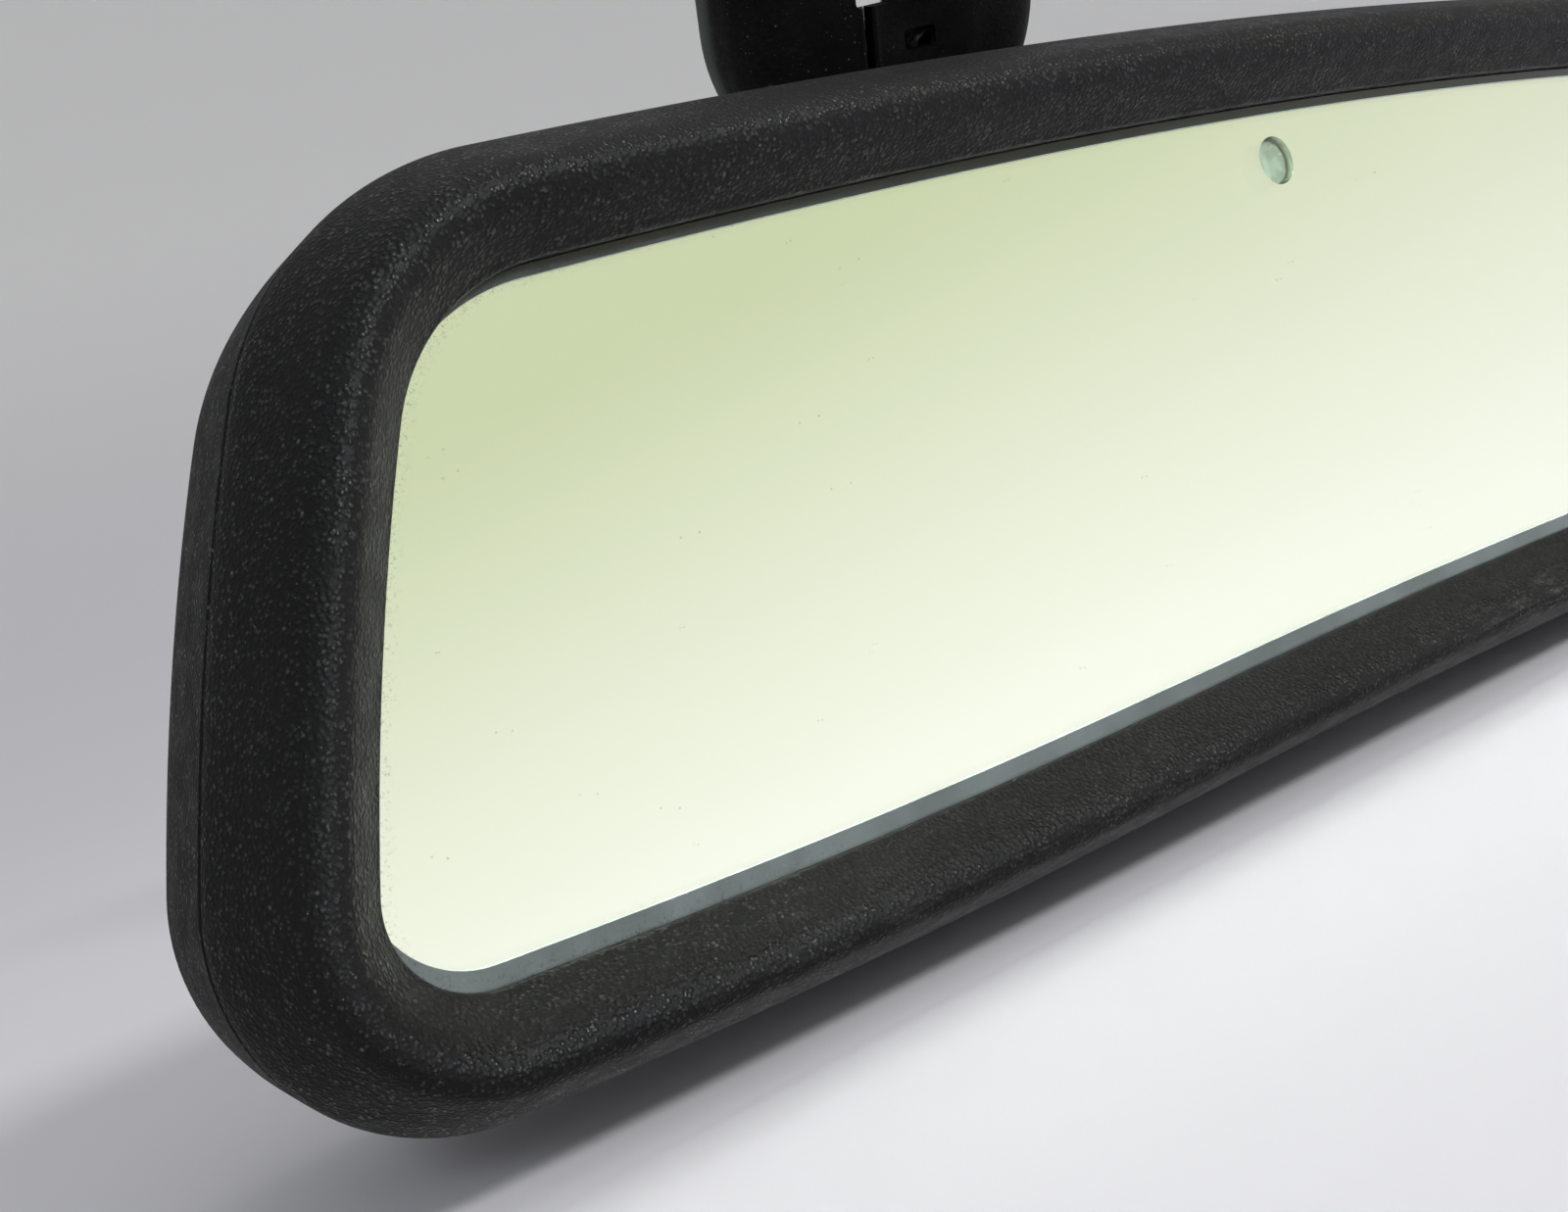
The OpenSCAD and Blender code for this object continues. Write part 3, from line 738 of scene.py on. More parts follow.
def mirror_coat_finish():
    """The dimming cell's mirror coat: a pale yellow-green tint, a shade darker in cloudy patches.
    """
    glass = settings("mirror_glass")
    made, s, shader = new_material("mirror_coat")
    place = s.place()
    cloud = s.noise(place, 14.0, 2.0)
    tint = s.mix(s.ramp(cloud, 0.3, 0.7), rgba(glass.tint, 0.985), rgba(glass.tint))
    s.put(shader["Base Color"], tint)
    shader["Metallic"].default_value = 1.0
    s.put(shader["Roughness"], s.ramp(s.noise(place, 300.0, 3.0), 0.3, 0.7, 0.012, 0.02))
    return made


def seal_finish():
    """Grey-teal cell seal with an uneven tone and fine bubbles."""
    glass = settings("mirror_glass")
    made, s, shader = new_material("edge_seal")
    place = s.place()
    cloud = s.ramp(s.noise(place, 130.0, 4.0), 0.35, 0.7)
    base = s.mix(cloud, rgba(glass.seal_tint, 0.88), rgba(glass.seal_tint, 1.12))
    bubbles = s.ramp(s.cells(place, 1500.0, "F1"), 0.08, 0.2, 1.0, 0.0)
    bubbles = s.math("MULTIPLY", bubbles, 0.3)
    s.put(shader["Base Color"], s.mix(bubbles, base, (0.6, 0.66, 0.64, 1)))
    s.put(shader["Roughness"], s.ramp(cloud, 0.0, 1.0, 0.35, 0.5))
    return made


def light_guide_finish():
    """Smoky green acrylic with a faint painted highlight along a core line."""
    made, s, shader = new_material("light_guide")
    place = s.place()
    core = s.vector("SUBTRACT", place, tuple(head_origin()))
    # painted highlight: a lighter band of base colour within 0.55 mm of the head's middle across,
    # standing for light in the guide's core
    line = s.ramp(s.math("ABSOLUTE", s.part(core, 0)), 0.1 * MM, 0.55 * MM, 1.0, 0.0)
    cloud = s.ramp(s.noise(place, 900.0, 3.0), 0.3, 0.7)
    base = s.mix(cloud, (0.165, 0.235, 0.165, 1), (0.205, 0.285, 0.205, 1))
    s.put(shader["Base Color"], s.mix(s.math("MULTIPLY", line, 0.35), base, (0.45, 0.55, 0.44, 1)))
    s.put(shader["Roughness"], s.ramp(cloud, 0.0, 1.0, 0.22, 0.34))
    shader["Coat Weight"].default_value = 0.4
    return made


# distances from the ball's centre between which the bare ball turns into the coated neck
BARE_BALL = (9.62 * MM, 9.75 * MM)


def stay_finish():
    """Black coated steel; the ball is bare, greased and turned."""
    made, s, shader = new_material("stay_metal")
    place = s.place()
    reach = s.vector("LENGTH", s.vector("SUBTRACT", place, tuple(BALL)))
    bare = s.ramp(reach, *BARE_BALL, 1.0, 0.0)
    peel = s.noise(place, 900.0, 3.0)
    coat = s.mix(s.ramp(s.noise(place, 80.0, 4.0), 0.3, 0.7),
                 (0.012, 0.012, 0.013, 1), (0.024, 0.024, 0.026, 1))
    steel = s.mix(s.ramp(s.noise(place, 300.0, 4.0), 0.4, 0.7),
                  (0.46, 0.46, 0.45, 1), (0.33, 0.32, 0.30, 1))
    s.put(shader["Base Color"], s.mix(bare, coat, steel))
    s.put(shader["Metallic"], bare)
    s.put(shader["Roughness"], s.ramp(peel, 0.3, 0.7, 0.28, 0.40))
    s.put(shader["Normal"], s.bump(peel, 0.00002))
    return made


def board_finish():
    """Green solder mask with copper tracks, pads and a little flux haze."""
    made, s, shader = new_material("board")
    place = s.place()
    flat = s.stretch(place, (1.0, 0.0, 1.0))
    track = s.cells(s.stretch(flat, (420, 1, 420)), 1.0, "DISTANCE_TO_EDGE")
    tracks = s.ramp(track, 0.05, 0.09, 1.0, 0.0)
    vias = s.ramp(s.cells(flat, 330.0, "F1"), 0.10, 0.13, 1.0, 0.0)
    mask = s.mix(s.math("MULTIPLY", tracks, 0.6), (0.012, 0.085, 0.035, 1), (0.03, 0.17, 0.075, 1))
    s.put(shader["Base Color"], s.mix(vias, mask, (0.62, 0.60, 0.55, 1)))
    s.put(shader["Metallic"], s.math("MULTIPLY", vias, 0.9))
    s.put(shader["Roughness"], s.ramp(s.noise(place, 200.0, 3.0), 0.3, 0.7, 0.28, 0.42))
    s.put(shader["Normal"], s.bump(s.math("ADD", tracks, vias), 0.00003))
    return made


def chip_finish():
    """Dull moulded chip body with a fine grain."""
    made, s, shader = new_material("chip_plastic")
    place = s.place()
    cloud = s.noise(place, 900.0, 3.0)
    s.put(shader["Base Color"], s.mix(cloud, (0.010, 0.010, 0.011, 1), (0.026, 0.026, 0.028, 1)))
    s.put(shader["Roughness"], s.ramp(s.noise(place, 2400.0, 2.0), 0.3, 0.7, 0.5, 0.68))
    s.put(shader["Normal"], s.bump(s.noise(place, 6000.0, 2.0), 0.00002))
    return made


def make_materials():
    """Builds every finish, named as the record's material slots."""
    finish = settings("mirror_finish")
    head = head_origin()
    rubbed = [(head + np.array([0.020, 0.001, -0.037]), (0.050, 0.02, 0.012), 0.22),
              (head + np.array([-0.045, -0.002, -0.036]), (0.030, 0.02, 0.010), 0.08),
              (head + np.array([-0.078, -0.004, -0.034]), (0.022, 0.02, 0.010), 0.06)]
    grained_plastic("frame_plastic", finish.plastic, rubbed=rubbed)
    grained_plastic("housing_plastic", finish.housing, rough=0.5, dusty=1.2, shine=0.7)
    grained_plastic("cover_plastic", finish.cover, grain=0.6, depth=0.35, rough=0.42, dusty=0.5,
                    shine=0.6)
    front_glass_finish()
    mirror_coat_finish()
    seal_finish()
    light_guide_finish()
    stay_finish()
    board_finish()
    chip_finish()
    worked_metal("spring_metal", (0.60, 0.61, 0.62), 0.28, (200, 2500, 2500))
    worked_metal("screw_steel", (0.50, 0.51, 0.53), 0.30, (2200, 700, 2200))
    worked_metal("cast_metal", (0.30, 0.31, 0.32), 0.48, (1400, 1400, 1400), 0.00005,
                 (0.12, 0.12, 0.12))
    worked_metal("clip_brass", (0.66, 0.50, 0.22), 0.26, (2500, 300, 300),
                 stain=(0.20, 0.12, 0.05))
    soft_rubber("foam", (0.08, 0.08, 0.085), 0.85, 0.0007)
    soft_rubber("seal_rubber", (0.030, 0.034, 0.031), 0.52, 0.0005)
    plain_plastic("carrier_plastic", (0.035, 0.036, 0.04), 0.45)
    plain_plastic("liner_plastic", (0.66, 0.64, 0.58), 0.32)
    plain_plastic("connector_plastic", (0.72, 0.70, 0.62), 0.36)
    plain_plastic("capacitor_sleeve", (0.03, 0.04, 0.09), 0.22)


NODE_SLOTS = {
    "front_bezel": "frame_plastic", "rear_housing": "housing_plastic", "front_glass": "clear_glass",
    "cell_seal": "edge_seal", "rear_mirror_glass": "mirror_coat", "upper_bus_clip": "spring_metal",
    "lower_bus_clip": "spring_metal", "foam_pad": "foam", "glass_carrier": "carrier_plastic",
    "circuit_board": "board", "board_screws": "screw_steel", "microcontroller": "chip_plastic",
    "board_capacitors": "capacitor_sleeve", "board_connector": "connector_plastic",
    "glare_sensor": "chip_plastic", "glare_light_guide": "light_guide",
    "forward_sensor": "chip_plastic", "forward_light_guide": "light_guide",
    "socket_cup": "cast_metal", "socket_screws": "screw_steel", "socket_liner": "liner_plastic",
    "friction_cap": "spring_metal", "stay_arm": "stay_metal", "arm_screws": "screw_steel",
    "foot_base": "cast_metal", "foot_seal": "seal_rubber", "retaining_clip": "clip_brass",
    "foot_connector": "chip_plastic", "seat_ring": "seal_rubber",
    "foot_cover_left": "cover_plastic", "foot_cover_right": "cover_plastic",
}


# ---------------------------------------------------------------------------
# Operators: the head
# ---------------------------------------------------------------------------

class MIRROR_OT_finishes(bpy.types.Operator):
    """Build the shared node groups and every finish"""
    bl_idname = "mirror.finishes"
    bl_label = "Finishes"

    def execute(self, context):
        make_groups()
        make_materials()
        return {"FINISHED"}


class MIRROR_OT_bezel(bpy.types.Operator):
    """Build the front bezel: a rounded section carried round the glass opening"""
    bl_idname = "mirror.bezel"
    bl_label = "Front Bezel"

    def execute(self, context):
        s = context.scene.mirror_frame
        w, c, wall, seam = s.frame_width / MM, s.crest / MM, s.wall / MM, s.seam / MM
        # each row: growth of the outline, depth behind the front of the glass
        outer = smooth_chain([
            [0.0, 0.0], [0.0, -0.55], [0.12, -0.92], [0.55, -1.45], [2.0, -c + 2.1],
            [3.35, -c + 0.55], [4.7, -c], [6.0, -c + 0.7], [w - 3.2, -c + 2.4], [w - 1.2, 1.2],
            [w - 0.25, seam - 1.4], [w, seam - 0.22], [w - 0.2, seam]], 7, corners=(1, 11))
        inner = np.array([[w - wall, seam], [w - wall - 1.1, 0.9], [w - wall - 2.8, -c + 3.6],
                          [4.4, -c + 2.6], [3.2, 0.0]])
        section = np.concatenate([outer, smooth_chain(inner, 4)]) * MM
        bezel = ring_piece("bezel", head_loops(section[:, 0], section[:, 1]), 50)
        settle(bezel, "front_bezel")
        return {"FINISHED"}


class MIRROR_OT_housing(bpy.types.Operator):
    """Build the rear housing: walls, shoulder and crown, blended to the round mouth"""
    bl_idname = "mirror.housing"
    bl_label = "Rear Housing"

    def execute(self, context):
        s = context.scene.mirror_frame
        w, wall, seam, back = (v / MM for v in (s.frame_width, s.wall, s.seam, s.depth))
        start = seam + s.seam_gap / MM
        out_r, in_r = s.mouth_out / MM, s.mouth_in / MM
        crown, inside = w - 9, w - wall
        wide, lined = out_r + 4, out_r + 2
        # each row: growth of the outline, share of the circle, depth, radius of the circle
        outer = smooth_chain([
            [w - 0.22, 0, start, wide], [w, 0, start + 0.24, wide],
            [w - 0.02, 0, start + 3, wide], [w - 0.1, 0, 14, wide], [w - 0.6, 0, 19, wide],
            [w - 2.2, 0, 24, wide], [w - 5.2, 0, 27.4, wide], [crown, 0, 29.3, wide],
            [crown, 0.12, 30.3, wide], [crown, 0.34, 31.2, wide], [crown, 0.62, 31.8, wide],
            [crown, 0.86, back, out_r + 3.2], [crown, 1.0, back, out_r + 0.5],
            [crown, 1.0, back - 0.3, out_r], [crown, 1.0, back - wall + 0.3, in_r + 0.1],
            [crown, 1.0, back - wall, in_r + 0.4]], 6, corners=(1, 14))
        inner = smooth_chain([
            [crown - wall, 0.86, back - wall, lined], [crown - wall, 0.62, 31.8 - wall, lined],
            [crown - wall, 0.34, 31.2 - wall, lined], [crown - wall, 0.12, 30.3 - wall, lined],
            [inside - 9, 0, 29.3 - wall, lined], [inside - 5.2, 0, 26.2 - wall / 2, lined],
            [inside - 2.2, 0, 23.4 - wall / 2, lined], [inside - 0.6, 0, 18.6, lined],
            [inside, 0, start, lined]], 3)
        rows = np.concatenate([outer, inner])
        loops = head_loops(rows[:, 0] * MM, rows[:, 2] * MM, rows[:, 1], rows[:, 3] * MM)
        housing = ring_piece("housing", loops, 50)
        at = head_origin() + np.array([s.window_x, 0.0, s.window_z])
        points = loops.reshape(-1, 3)
        near = np.linalg.norm((points - at)[:, [0, 2]], axis=1) < 4 * MM
        face = points[near][:, 1].max()
        r = s.window_radius
        # a straight drill that opens into a countersink at the housing's face
        drill = np.array([[0, -14 * MM], [r, -14 * MM], [r, -0.35 * MM],
                          [r + 0.55 * MM, 0.25 * MM], [r + 0.6 * MM, 2 * MM], [0, 2 * MM]])
        hole = lathe_piece("drill", drill, np.array([at[0], face, at[2]]), (0, 1, 0), 48)
        carve(housing, [hole], 50)
        settle(housing, "rear_housing")
        return {"FINISHED"}


def pane_piece(name, grow, top_y, thickness, arris, hole=None):
    """A pane: rings from the back's middle, round the ground edge, to the front's middle.

    The attribute inward_mm holds each point's distance inward from the opening's edge, and a
    flat 20 in the middle.
    """
    inward = np.array([0.0, 0.4, 1.0, 1.8, 2.6, 3.4, 4.4, 5.6, 7.0])
    steps = np.concatenate([[grow - arris], grow - arris - inward * MM])
    middle = np.array([0.25, 0.5, 0.75, 1.0])
    face_d = np.concatenate([steps, np.full(len(middle), steps[-1])])
    face_m = np.concatenate([np.zeros(len(steps)), middle])
    front, back = top_y, top_y + thickness
    d = np.concatenate([face_d[::-1], [grow, grow], face_d])
    m = np.concatenate([face_m[::-1], [0, 0], face_m])
    y = np.concatenate([np.full(len(face_d), front), [front + arris, back - arris],
                        np.full(len(face_d), back)])
    loops = head_loops(d, y, m, np.zeros(len(m)))
    rows, columns = loops.shape[:2]
    inward_mm = np.repeat(np.where(m > 0, 20.0, -d / MM), columns)
    obj = build_mesh(name, loops, grid_faces(rows, columns, False, True), 20,
                     inward_mm=inward_mm)
    if hole is not None:
        carve(obj, [hole], 20)
    return obj


class MIRROR_OT_glass(bpy.types.Operator):
    """Build the front pane, the cell seal and the mirror-coated rear pane"""
    bl_idname = "mirror.glass"
    bl_label = "Glass"

    def execute(self, context):
        g = context.scene.mirror_glass
        head = head_origin()
        front = pane_piece("front_pane", g.lap, g.front, g.pane, g.arris)
        settle(front, "front_glass")
        front.visible_shadow = False
        rear_y = g.front + g.pane + g.cell
        r = g.sensor_radius
        low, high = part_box("glare_light_guide")
        drill = np.array([[0, -3 * MM], [r, -3 * MM], [r, 6 * MM], [0, 6 * MM]])
        at = np.array([(low.x + high.x) / 2, head[1] + rear_y, (low.z + high.z) / 2])
        hole = lathe_piece("drill", drill, at, (0, 1, 0), 64)
        rear = pane_piece("mirror_pane", g.lap - 0.4 * MM, rear_y, g.pane, g.arris, hole)
        settle(rear, "rear_mirror_glass")
        y0, y1 = g.front + g.pane, rear_y
        edge = 0.8 * MM
        wide = outline(g.lap)[0]
        narrow = outline(edge, g.band_top + edge, g.band_bottom + edge)[0]
        order = [(wide, y0), (narrow, y0), (narrow, y1), (wide, y1)]
        loops = np.stack([np.stack([p[:, 0], np.full(len(p), y), p[:, 1]], 1) for p, y in order])
        settle(ring_piece("seal_band", loops + head, 30), "cell_seal")
        return {"FINISHED"}


class MIRROR_OT_light_guides(bpy.types.Operator):
    """Build the two acrylic light guides with rounded ends"""
    bl_idname = "mirror.light_guides"
    bl_label = "Light Guides"

    def execute(self, context):
        for node, name in (("glare_light_guide", "glare_guide"),
                           ("forward_light_guide", "forward_guide")):
            low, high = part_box(node)
            r, long = (high.x - low.x) / 2, high.y - low.y
            centre = np.array([(low.x + high.x) / 2, low.y, (low.z + high.z) / 2])
            turn = np.linspace(0, math.pi / 2, 7)
            dome = 0.5 * MM
            first = np.stack([r * np.sin(turn), dome * (1 - np.cos(turn))], 1)
            last = np.stack([r * np.cos(turn), long - dome * (1 - np.sin(turn))], 1)
            profile = np.concatenate([first, last])
            settle(lathe_piece(name, profile, centre, (0, 1, 0), 48), node)
        return {"FINISHED"}


class MIRROR_OT_inner_pieces(bpy.types.Operator):
    """Finish the carrier, the electronics and the ball socket inside the head"""
    bl_idname = "mirror.inner_pieces"
    bl_label = "Inner Pieces"

    def execute(self, context):
        finished_copies({
            "upper_bus_clip": 0.04, "lower_bus_clip": 0.04, "foam_pad": 0.15, "glass_carrier": 0.2,
            "circuit_board": 0.1, "board_screws": 0.15, "microcontroller": 0.12,
            "board_capacitors": 0.5, "board_connector": 0.2, "glare_sensor": 0.1,
            "forward_sensor": 0.1, "socket_cup": 0.25, "socket_screws": 0.2, "socket_liner": 0.15,
            "friction_cap": 0.1})
        return {"FINISHED"}


# ---------------------------------------------------------------------------
# Operators: the foot
# ---------------------------------------------------------------------------

# the rows at the covers' top end: share of the height left, and mm that they move down
TOP_SHARES = (0.0, 0.80, 0.90, 0.96, 0.985, 0.997)
TOP_SHIFTS = (0.0, 0.0, 0.12, 0.42, 0.9, 1.6)
# corners of the notch and of the clip window, in mm in the foot's own axes
NOTCH = ((-4.0, -23.6, 9.0), (5.8, -12.6, 22.0))
CLIP_WINDOW = ((3.1, -30.5, 9.0), (7.8, -27.6, 24.0))
# the stay's limb: its root in mm in the foot's own axes, its elbow's distance from the ball in
# mm, and the neck's angle to the seat in degrees
LIMB_ROOT = (0.0, -36.5, 8.8)
NECK_LENGTH = 27
NECK_ANGLE = 60.0 - 10.0


def cover_section(inset, foot):
    """Half section of the covers, inset by a wall: distance from the middle, and height."""
    f = settings("mirror_foot")
    r, h = (f.cover_radius - inset) / MM, (f.cover_height - inset) / MM
    return smooth_chain([[0, h - 0.5], [5, h], [10, h], [14, h - 0.7], [r - 4.3, h - 2.2],
                         [r - 1.6, h - 4.6], [r - 0.4, h - 7.6], [r - 0.03, foot / MM + 0.9],
                         [r - 0.16, foot / MM + 0.35], [r - 0.6, foot / MM]], 7) * MM


def cover_rays(side, gap):
    """Plan of one cover as rays from the split, measured from the covers' own spine.

    Down the straight part the rays run square to the split. Round the lower end they fan out
    from one point, closer together towards the last, which runs along the split itself.
    """
    f = settings("mirror_foot")
    x = f.split + side * gap / 2 - f.cover_shift
    straight = np.concatenate([np.full(len(TOP_SHARES), f.cover_rise),
                               np.linspace(f.cover_rise - 2.5 * MM, -f.cover_drop, 26)])
    late = np.radians([16, 12, 9, 7, 5.2, 3.9, 2.9, 2.1, 1.4, 0.9, 0.5, 0.2, 0.0])
    fan = np.concatenate([np.linspace(0, math.pi / 2 - late[0], 22)[1:-1], math.pi / 2 - late])
    starts = np.concatenate([np.stack([np.full(len(straight), x), straight], 1),
                             np.tile([x, -f.cover_drop], (len(fan), 1))])
    ways = np.concatenate([np.tile([side, 0.0], (len(straight), 1)),
                           np.stack([side * np.cos(fan), -np.sin(fan)], 1)])
    return starts, ways


def cover_surface(side, inset):
    """Grid of one cover's outer or inner surface: a row for each ray, a column for each distance.

    Height is the section at the distance from the foot's spine. It gains a bead and loses a
    rounded edge next to the split, and at the top end it is drawn down to the foot by rows.
    """
    f = settings("mirror_foot")
    foot = f.cover_foot
    section = cover_section(inset, foot)
    starts, ways = cover_rays(side, f.split_gap if inset == 0 else f.inner_gap)
    reach = abs(starts[0, 0]) + (2.15 * MM if side < 0 else 1.25 * MM)
    far = section[section[:, 0] > reach]
    spine = np.clip(starts[:, 1], -f.cover_drop, f.cover_rise)
    offset = starts - np.stack([np.zeros(len(starts)), spine], 1)
    along = np.sum(offset * ways, 1)[:, None]
    square = np.sum(offset**2, 1)[:, None]
    t_far = -along + np.sqrt(np.maximum(along**2 + far[None, :, 0] ** 2 - square, 0))
    close = np.array([0.0, 0.04, 0.10, 0.18, 0.28, 0.42, 0.60, 0.80, 1.05]) * MM
    ease = np.linspace(0, 1, 10)[1:-1]
    t_near = np.concatenate([np.tile(close, (len(starts), 1)),
                             close[-1] + (t_far[:, :1] - close[-1]) * ease], 1)
    t = np.concatenate([t_near, t_far], 1)
    plan = starts[:, None, :] + ways[:, None, :] * t[..., None]
    from_spine = np.hypot(plan[..., 0], np.minimum(plan[..., 1] + f.cover_drop, 0))
    height = np.interp(from_spine, section[:, 0], section[:, 1])
    height[:, t_near.shape[1]:] = far[None, :, 1]
    if inset == 0:
        beside = np.abs(plan[..., 0] - starts[0, 0])
        top = np.clip((height - foot) / (4 * MM), 0, 1)
        height += f.lip * np.exp(-((beside - 0.5 * MM) / (0.42 * MM)) ** 2) * top
        inside = np.clip(f.edge - beside, 0, f.edge)
        height -= (f.edge - np.sqrt(f.edge**2 - inside**2)) * top
    drop = np.ones(len(starts))
    drop[:len(TOP_SHARES)] = TOP_SHARES
    shift = np.zeros(len(starts))
    shift[:len(TOP_SHIFTS)] = np.array(TOP_SHIFTS) * MM
    height = foot + (height - foot) * drop[:, None]
    y = plan[..., 1] - shift[:, None]
    y = np.minimum(y, f.cover_rise - inset)
    return np.stack([plan[..., 0] + f.cover_shift, y, height], 2)


def cover_piece(name, side):
    """One foot cover: outer and inner surface joined round the rim, closed along the split."""
    f = settings("mirror_foot")
    outer, inner = cover_surface(side, 0.0), cover_surface(side, f.cover_wall)
    rows, half = outer.shape[0], outer.shape[1]
    grid = np.concatenate([outer, inner[:, ::-1]], 1)
    columns = grid.shape[1]
    faces = grid_faces(rows, columns, False, True)
    k = np.arange(half - 1)
    for row, turned in ((0, False), (rows - 1, True)):
        base = row * columns
        cap = np.stack([base + k, base + k + 1, base + columns - 2 - k, base + columns - 1 - k], 1)
        faces += (cap[:, ::-1] if turned else cap).tolist()
    return build_mesh(name, from_foot(grid), faces, 40)


def box_cutter(low, high, round_by):
    """A block with rounded edges in the foot's own axes, given by two corners, all in mm."""
    low, high = np.array(low, float) * MM, np.array(high, float) * MM
    pick = np.array([[x, y, z] for x in (0, 1) for y in (0, 1) for z in (0, 1)], float)
    points = from_foot(low + (high - low) * pick)
    faces = [[0, 1, 3, 2], [4, 6, 7, 5], [0, 4, 5, 1], [2, 3, 7, 6], [0, 2, 6, 4], [1, 5, 7, 3]]
    cutter = build_mesh("cutter", points, faces)
    add_bevel(cutter, round_by * MM, 4, 30)
    return cutter


def limb_line():
    """Two points on the middle of the stay's long limb, in the foot's own axes."""
    ball = (BALL - SEAT_AT) @ foot_basis().T
    rake = math.radians(NECK_ANGLE)
    elbow = ball + NECK_LENGTH * MM * np.array([0.0, -math.cos(rake), -math.sin(rake)])
    return np.array(LIMB_ROOT) * MM, np.array([0.0, elbow[1], elbow[2]])


class MIRROR_OT_foot_covers(bpy.types.Operator):
    """Build the two foot covers with their split, beads, notch and clip window"""
    bl_idname = "mirror.foot_covers"
    bl_label = "Foot Covers"

    def execute(self, context):
        f = context.scene.mirror_foot
        root, elbow = limb_line()
        way = (elbow - root) @ foot_basis()
        far = np.linalg.norm(way)
        r = f.limb_radius + 1.8 * MM
        rod = np.array([[0, -2 * MM], [r, -2 * MM], [r, far], [0, far]])
        for name, side in (("cover_left", -1), ("cover_right", 1)):
            cover = cover_piece(name, side)
            cutters = [lathe_piece("rod", rod, from_foot(root), way, 72), box_cutter(*NOTCH, 0.8)]
            if side > 0:
                cutters.append(box_cutter(*CLIP_WINDOW, 0.5))
            carve(cover, cutters, 40)
            settle(cover, "foot_" + name)
        return {"FINISHED"}


def tongue_loop(inset, steps=48):
    """The foot's plan inset by a width: a round lower end, straight sides and a rounded top."""
    f = settings("mirror_foot")
    r, top = f.cover_radius - inset, f.cover_rise - inset
    k = 0.8 * MM
    low = np.linspace(-math.pi, 0, steps)
    corner = np.linspace(0, math.pi / 2, 7)
    side = np.linspace(-f.cover_drop, top - k, 16)[1:-1]
    arc = np.stack([r * np.cos(low), r * np.sin(low) - f.cover_drop], 1)
    right = np.stack([np.full(len(side), r), side], 1)
    bend = np.stack([r - k + k * np.cos(corner), top - k + k * np.sin(corner)], 1)
    half = np.concatenate([right, bend])
    return np.concatenate([arc, half, half[::-1] * [-1, 1]]) + [f.cover_shift, 0]


class MIRROR_OT_foot_seal(bpy.types.Operator):
    """Build the rubber seal: a rounded section carried round the foot"""
    bl_idname = "mirror.foot_seal"
    bl_label = "Foot Seal"

    def execute(self, context):
        f = context.scene.mirror_foot
        w, h = f.seal_width / MM, f.seal_height / MM
        section = smooth_chain([[0.15, 0.9], [0.45, 0.25], [1.1, 0.0], [w - 0.3, 0.0], [w, 0.3],
                                [w, h - 0.3], [w - 0.3, h], [1.3, h], [0.5, h - 0.25],
                                [0.1, h - 0.9], [0.0, h * 0.5], [0.15, 0.9]], 4)[:-1] * MM
        loops = np.stack([np.insert(tongue_loop(d), 2, z, axis=1) for d, z in section])
        settle(ring_piece("foot_gasket", from_foot(loops), 50), "foot_seal")
        return {"FINISHED"}


class MIRROR_OT_foot_pieces(bpy.types.Operator):
    """Finish the stay, the base and the small pieces of the foot"""
    bl_idname = "mirror.foot_pieces"
    bl_label = "Foot Pieces"

    def execute(self, context):
        finished_copies({"stay_arm": 0.3, "arm_screws": 0.2, "foot_base": 0.3,
                         "retaining_clip": 0.12, "foot_connector": 0.2, "seat_ring": 0.3})
        return {"FINISHED"}


# ---------------------------------------------------------------------------
# Operators: the stage
# ---------------------------------------------------------------------------

def stage_material(name, bottom, top):
    """A pale sweep that turns from one colour to another and glows a little with height."""
    made, s, shader = new_material(name)
    low = CAD_BOUNDS[0].z
    share_up = s.ramp(s.part(s.place(), 2), low, low + 0.5, 0.0, 1.0)
    s.put(shader["Base Color"], s.mix(share_up, rgba(bottom), rgba(top)))
    s.put(shader["Emission Color"], s.mix(share_up, (0, 0, 0, 1), (0.085, 0.085, 0.085, 1)))
    shader["Emission Strength"].default_value = 1.0
    shader["Roughness"].default_value = 0.6
    return made


def add_light(name, place, aim, size, power, tint):
    """A soft area light at a place, aimed at a point."""
    data = bpy.data.lights.new(name, "AREA")
    data.shape, data.size, data.size_y = "RECTANGLE", size[0], size[1]
    data.energy, data.color = power, tint
    light = add_object(name, data)
    light.location = place
    light.rotation_euler = (Vector(aim) - Vector(place)).to_track_quat("-Z", "Y").to_euler()
    return light


# the scoop: where its floor starts and ends in front of the glass, its height and its width
SCOOP_NEAR, SCOOP_BEND, SCOOP_TOP = 0.012, 0.35, 1.0
SCOOP_SIDES = (-0.7, 3.2)
# its pale share at level and at the middle azimuth, and the change with each degree
PALE_SHARE, PALE_BY_ELEVATION, PALE_BY_AZIMUTH, MIDDLE_AZIMUTH = 0.32, -0.055, 0.0106, 25


